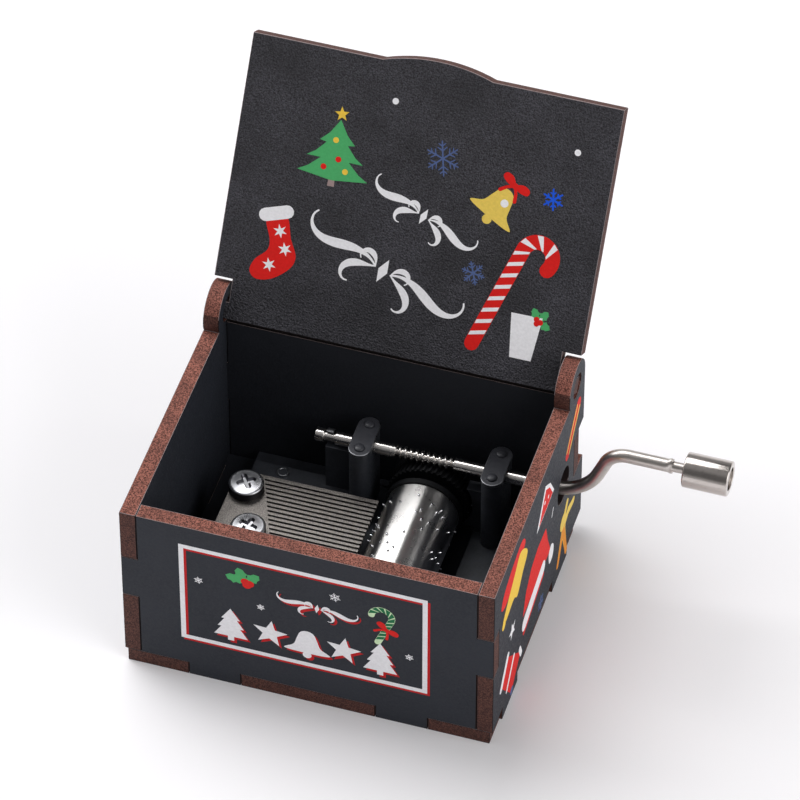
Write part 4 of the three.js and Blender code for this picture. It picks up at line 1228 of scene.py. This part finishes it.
def right_print():
    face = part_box("right_side_panel")[1].x
    art = Print("right_print", "case", Vector((face, 0, 0)), Vector((0, 1, 0)), Vector((0, 0, 1)))
    bow = smooth([(-7.4, 31), (-9.2, 33.4), (-14.2, 32.9), (-19.4, 31.2), (-21, 28.6), (-17.6, 27.4),
                  (-11.5, 29.2)])
    art.add(bow, "red")
    bell = smooth([(-5.9, 27.6), (-9.9, 31.4), (-13.6, 29.4), (-19.8, 24.9), (-18.2, 23.4), (-13.8, 24),
                   (-11.6, 22.6), (-8.8, 25)])
    art.add(bell, "yellow", 2)
    art.add(circle(-19.4, 23.6, 1), "yellow", 2)
    hat = [(-7.9, 13.2), (-6.2, 17.6), (-3.3, 20.3), (0.6, 21.4), (5.4, 21.1), (6.6, 17.2), (8.6, 12.6),
           (4.6, 13)]
    art.add(hat, "red")
    art.add(stroke([(-7, 8.6), (4.2, 10.9)], [1.2, 1.2]), "red")
    art.add(stroke([(-6.6, 10.6), (3.8, 12.8)], [3.3, 3.1]), "white", 2)
    art.add(smooth([(8, 9.6), (10, 9.8), (10.4, 12), (9, 13.4), (7.6, 12.4)]), "white", 2)
    for path in ([(22.6, 10.3), (19.4, 11), (16.6, 9.8), (13.4, 3.4)],
                 [(18.6, 13.9), (17.2, 12.2), (16.8, 8.4), (18.6, 1.8)]):
        art.add(stroke(path, [1.5, 1.9, 2, 1.2]), "gold")
        art.add(stroke(path[2:], [1.6, 1.3]), "orange", 2)
    art.add(circle(16.2, 11.4, 1.7), "gold", 3)
    art.add(stroke([(24, 32), (18.1, 26.4)], [3.2, 2.8]), "red")
    for shift in (-0.75, 0.75):
        art.add(stroke([(24 + shift, 32 - shift), (18.1 + shift, 26.4 - shift)], [0.6, 0.5]), "gold", 2)
    cone = [(-0.4, 25.8), (4.4, 32.4), (7.4, 30.2), (9.8, 26.2), (5.6, 26)]
    art.add(cone, "white")
    art.add(moved(cone, (1.2, 5.6), 0.79), "red", 2)
    for place in ((4.2, 28.6), (6.3, 28)):
        art.add(circle(*place, 0.35), "white", 3)
    art.add(stroke([(8.9, 20.3), (9.7, 21.7)], [0.35, 0.35]), "white")
    art.add(moved(star(), (-14.2, 16.8), 1.9, 10), "white")
    art.snowflake((3.2, 5.1), 1.6, "frost", 0, 0.3)
    art.add([(-16.9, 12.9), (-20.3, 8.8), (-14.2, 1), (-8.9, 5.8)], "red")
    art.add(stroke([(-16.6, 13), (-20.4, 8.6)], [1.5, 1.5]), "white", 2)
    art.add(stroke([(-12.9, 9.2), (-17, 4.6)], [0.9, 0.9]), "white", 2)
    art.add(stroke([(-9.4, 6.9), (-8.6, 5)], [1.2, 1.2]), "white", 2)
    art.add(circle(-13.9, 1.4, 0.9), "frost", 2)
    art.finish()


# Floor, light and camera

def studio():
    mesh = bpy.data.meshes.new("floor")
    half = FLOOR_HALF
    corners = [(-half, -half), (half, -half), (half, half), (-half, half)]
    mesh.from_pydata([(u, v, -FLOOR_DROP) for u, v in corners], [], [(0, 1, 2, 3)])
    ground = Finish("floor", FLOOR_COLOUR, 0.8)
    ground.set("Specular IOR Level", 0)
    ray = ground.add("ShaderNodeLightPath")
    seen = ray.outputs["Is Camera Ray"]
    for kind in ("Is Glossy Ray", "Is Transmission Ray"):
        either = ground.add("ShaderNodeMath", operation="ADD")
        ground.tree.links.new(seen, either.inputs[0])
        ground.tree.links.new(ray.outputs[kind], either.inputs[1])
        seen = either.outputs[0]
    ground.set("Emission Color", FLOOR_COLOUR)
    ground.feed("Emission Strength", ground.spread(seen, 0, FLOOR_WHITE, 0, 1))
    mesh.materials.append(ground.material)
    linked("floor", mesh)

    sky()
    lamp("key", KEY_DIRECTION, KEY_SIZE, KEY_POWER)
    lamp("fill", FILL_DIRECTION, FILL_SIZE, FILL_POWER)


def sky():
    """A plain studio sky: a bright horizon, dimmer overhead and towards the front and the right."""
    world = bpy.data.worlds.new("studio")
    bpy.context.scene.world = world
    world.use_nodes = True
    tree = world.node_tree
    background = tree.nodes["Background"]
    place = tree.nodes.new("ShaderNodeTexCoord")

    def toward(direction, start, end, low, high):
        """A level that rises from low to high as a ray turns towards direction."""
        dot = tree.nodes.new("ShaderNodeVectorMath")
        dot.operation = "DOT_PRODUCT"
        dot.inputs[1].default_value = Vector(direction).normalized()
        tree.links.new(place.outputs["Generated"], dot.inputs[0])
        node = mapped(tree, dot.outputs["Value"], low, high, start, end)
        node.interpolation_type = "SMOOTHSTEP"
        return node.outputs["Result"]

    level = toward((0, 0, 1), SKY_LOW, SKY_HIGH, HORIZON_LEVEL, SKY_LEVEL)
    for direction, share in ((FRONT_DIRECTION, FRONT_SHARE), (RIGHT_DIRECTION, RIGHT_SHARE)):
        both = tree.nodes.new("ShaderNodeMath")
        both.operation = "MULTIPLY"
        tree.links.new(level, both.inputs[0])
        tree.links.new(toward(direction, DIM_FROM, DIM_TO, 1, share), both.inputs[1])
        level = both.outputs[0]
    tree.links.new(level, background.inputs["Strength"])
    background.inputs["Color"].default_value = SKY_COLOUR


def lamp(name, direction, size, power):
    """A soft box facing the object, with its first side level."""
    light = bpy.data.lights.new(name, "AREA")
    light.shape = "RECTANGLE"
    light.size, light.size_y = size
    light.energy = power
    item = linked(name, light)
    direction = Vector(direction).normalized()
    item.location = LIT_PLACE + direction * LAMP_DISTANCE
    across = (Vector((1, 0, 0)) - direction * direction.x).normalized()
    item.rotation_euler = Matrix((across, direction.cross(across), direction)).transposed().to_euler()


def camera():
    back = Vector((math.sin(CAMERA_AZIMUTH) * math.cos(CAMERA_ELEVATION),
                   -math.cos(CAMERA_AZIMUTH) * math.cos(CAMERA_ELEVATION), math.sin(CAMERA_ELEVATION)))
    level = Vector((math.cos(CAMERA_AZIMUTH), math.sin(CAMERA_AZIMUTH), 0))
    upright = back.cross(level)
    right = level * math.cos(CAMERA_ROLL) + upright * math.sin(CAMERA_ROLL)
    up = upright * math.cos(CAMERA_ROLL) - level * math.sin(CAMERA_ROLL)
    place = CAMERA_TARGET + back * CAMERA_DISTANCE + right * CAMERA_RIGHT + up * CAMERA_UP
    lens = bpy.data.cameras.new("camera")
    lens.sensor_width = SENSOR
    lens.lens = FOCAL_PIXELS * SENSOR / PHOTO_SIZE
    lens.clip_end = CAMERA_REACH
    view = linked("camera", lens)
    view.matrix_world = Matrix((right, up, back)).transposed().to_4x4()
    view.location = place
    bpy.context.scene.camera = view


bpy.context.scene.view_settings.view_transform = "Standard"
camera()
studio()
boards()
movement()
crank_rod()
crank_knob()
lid_print()
front_print()
right_print()
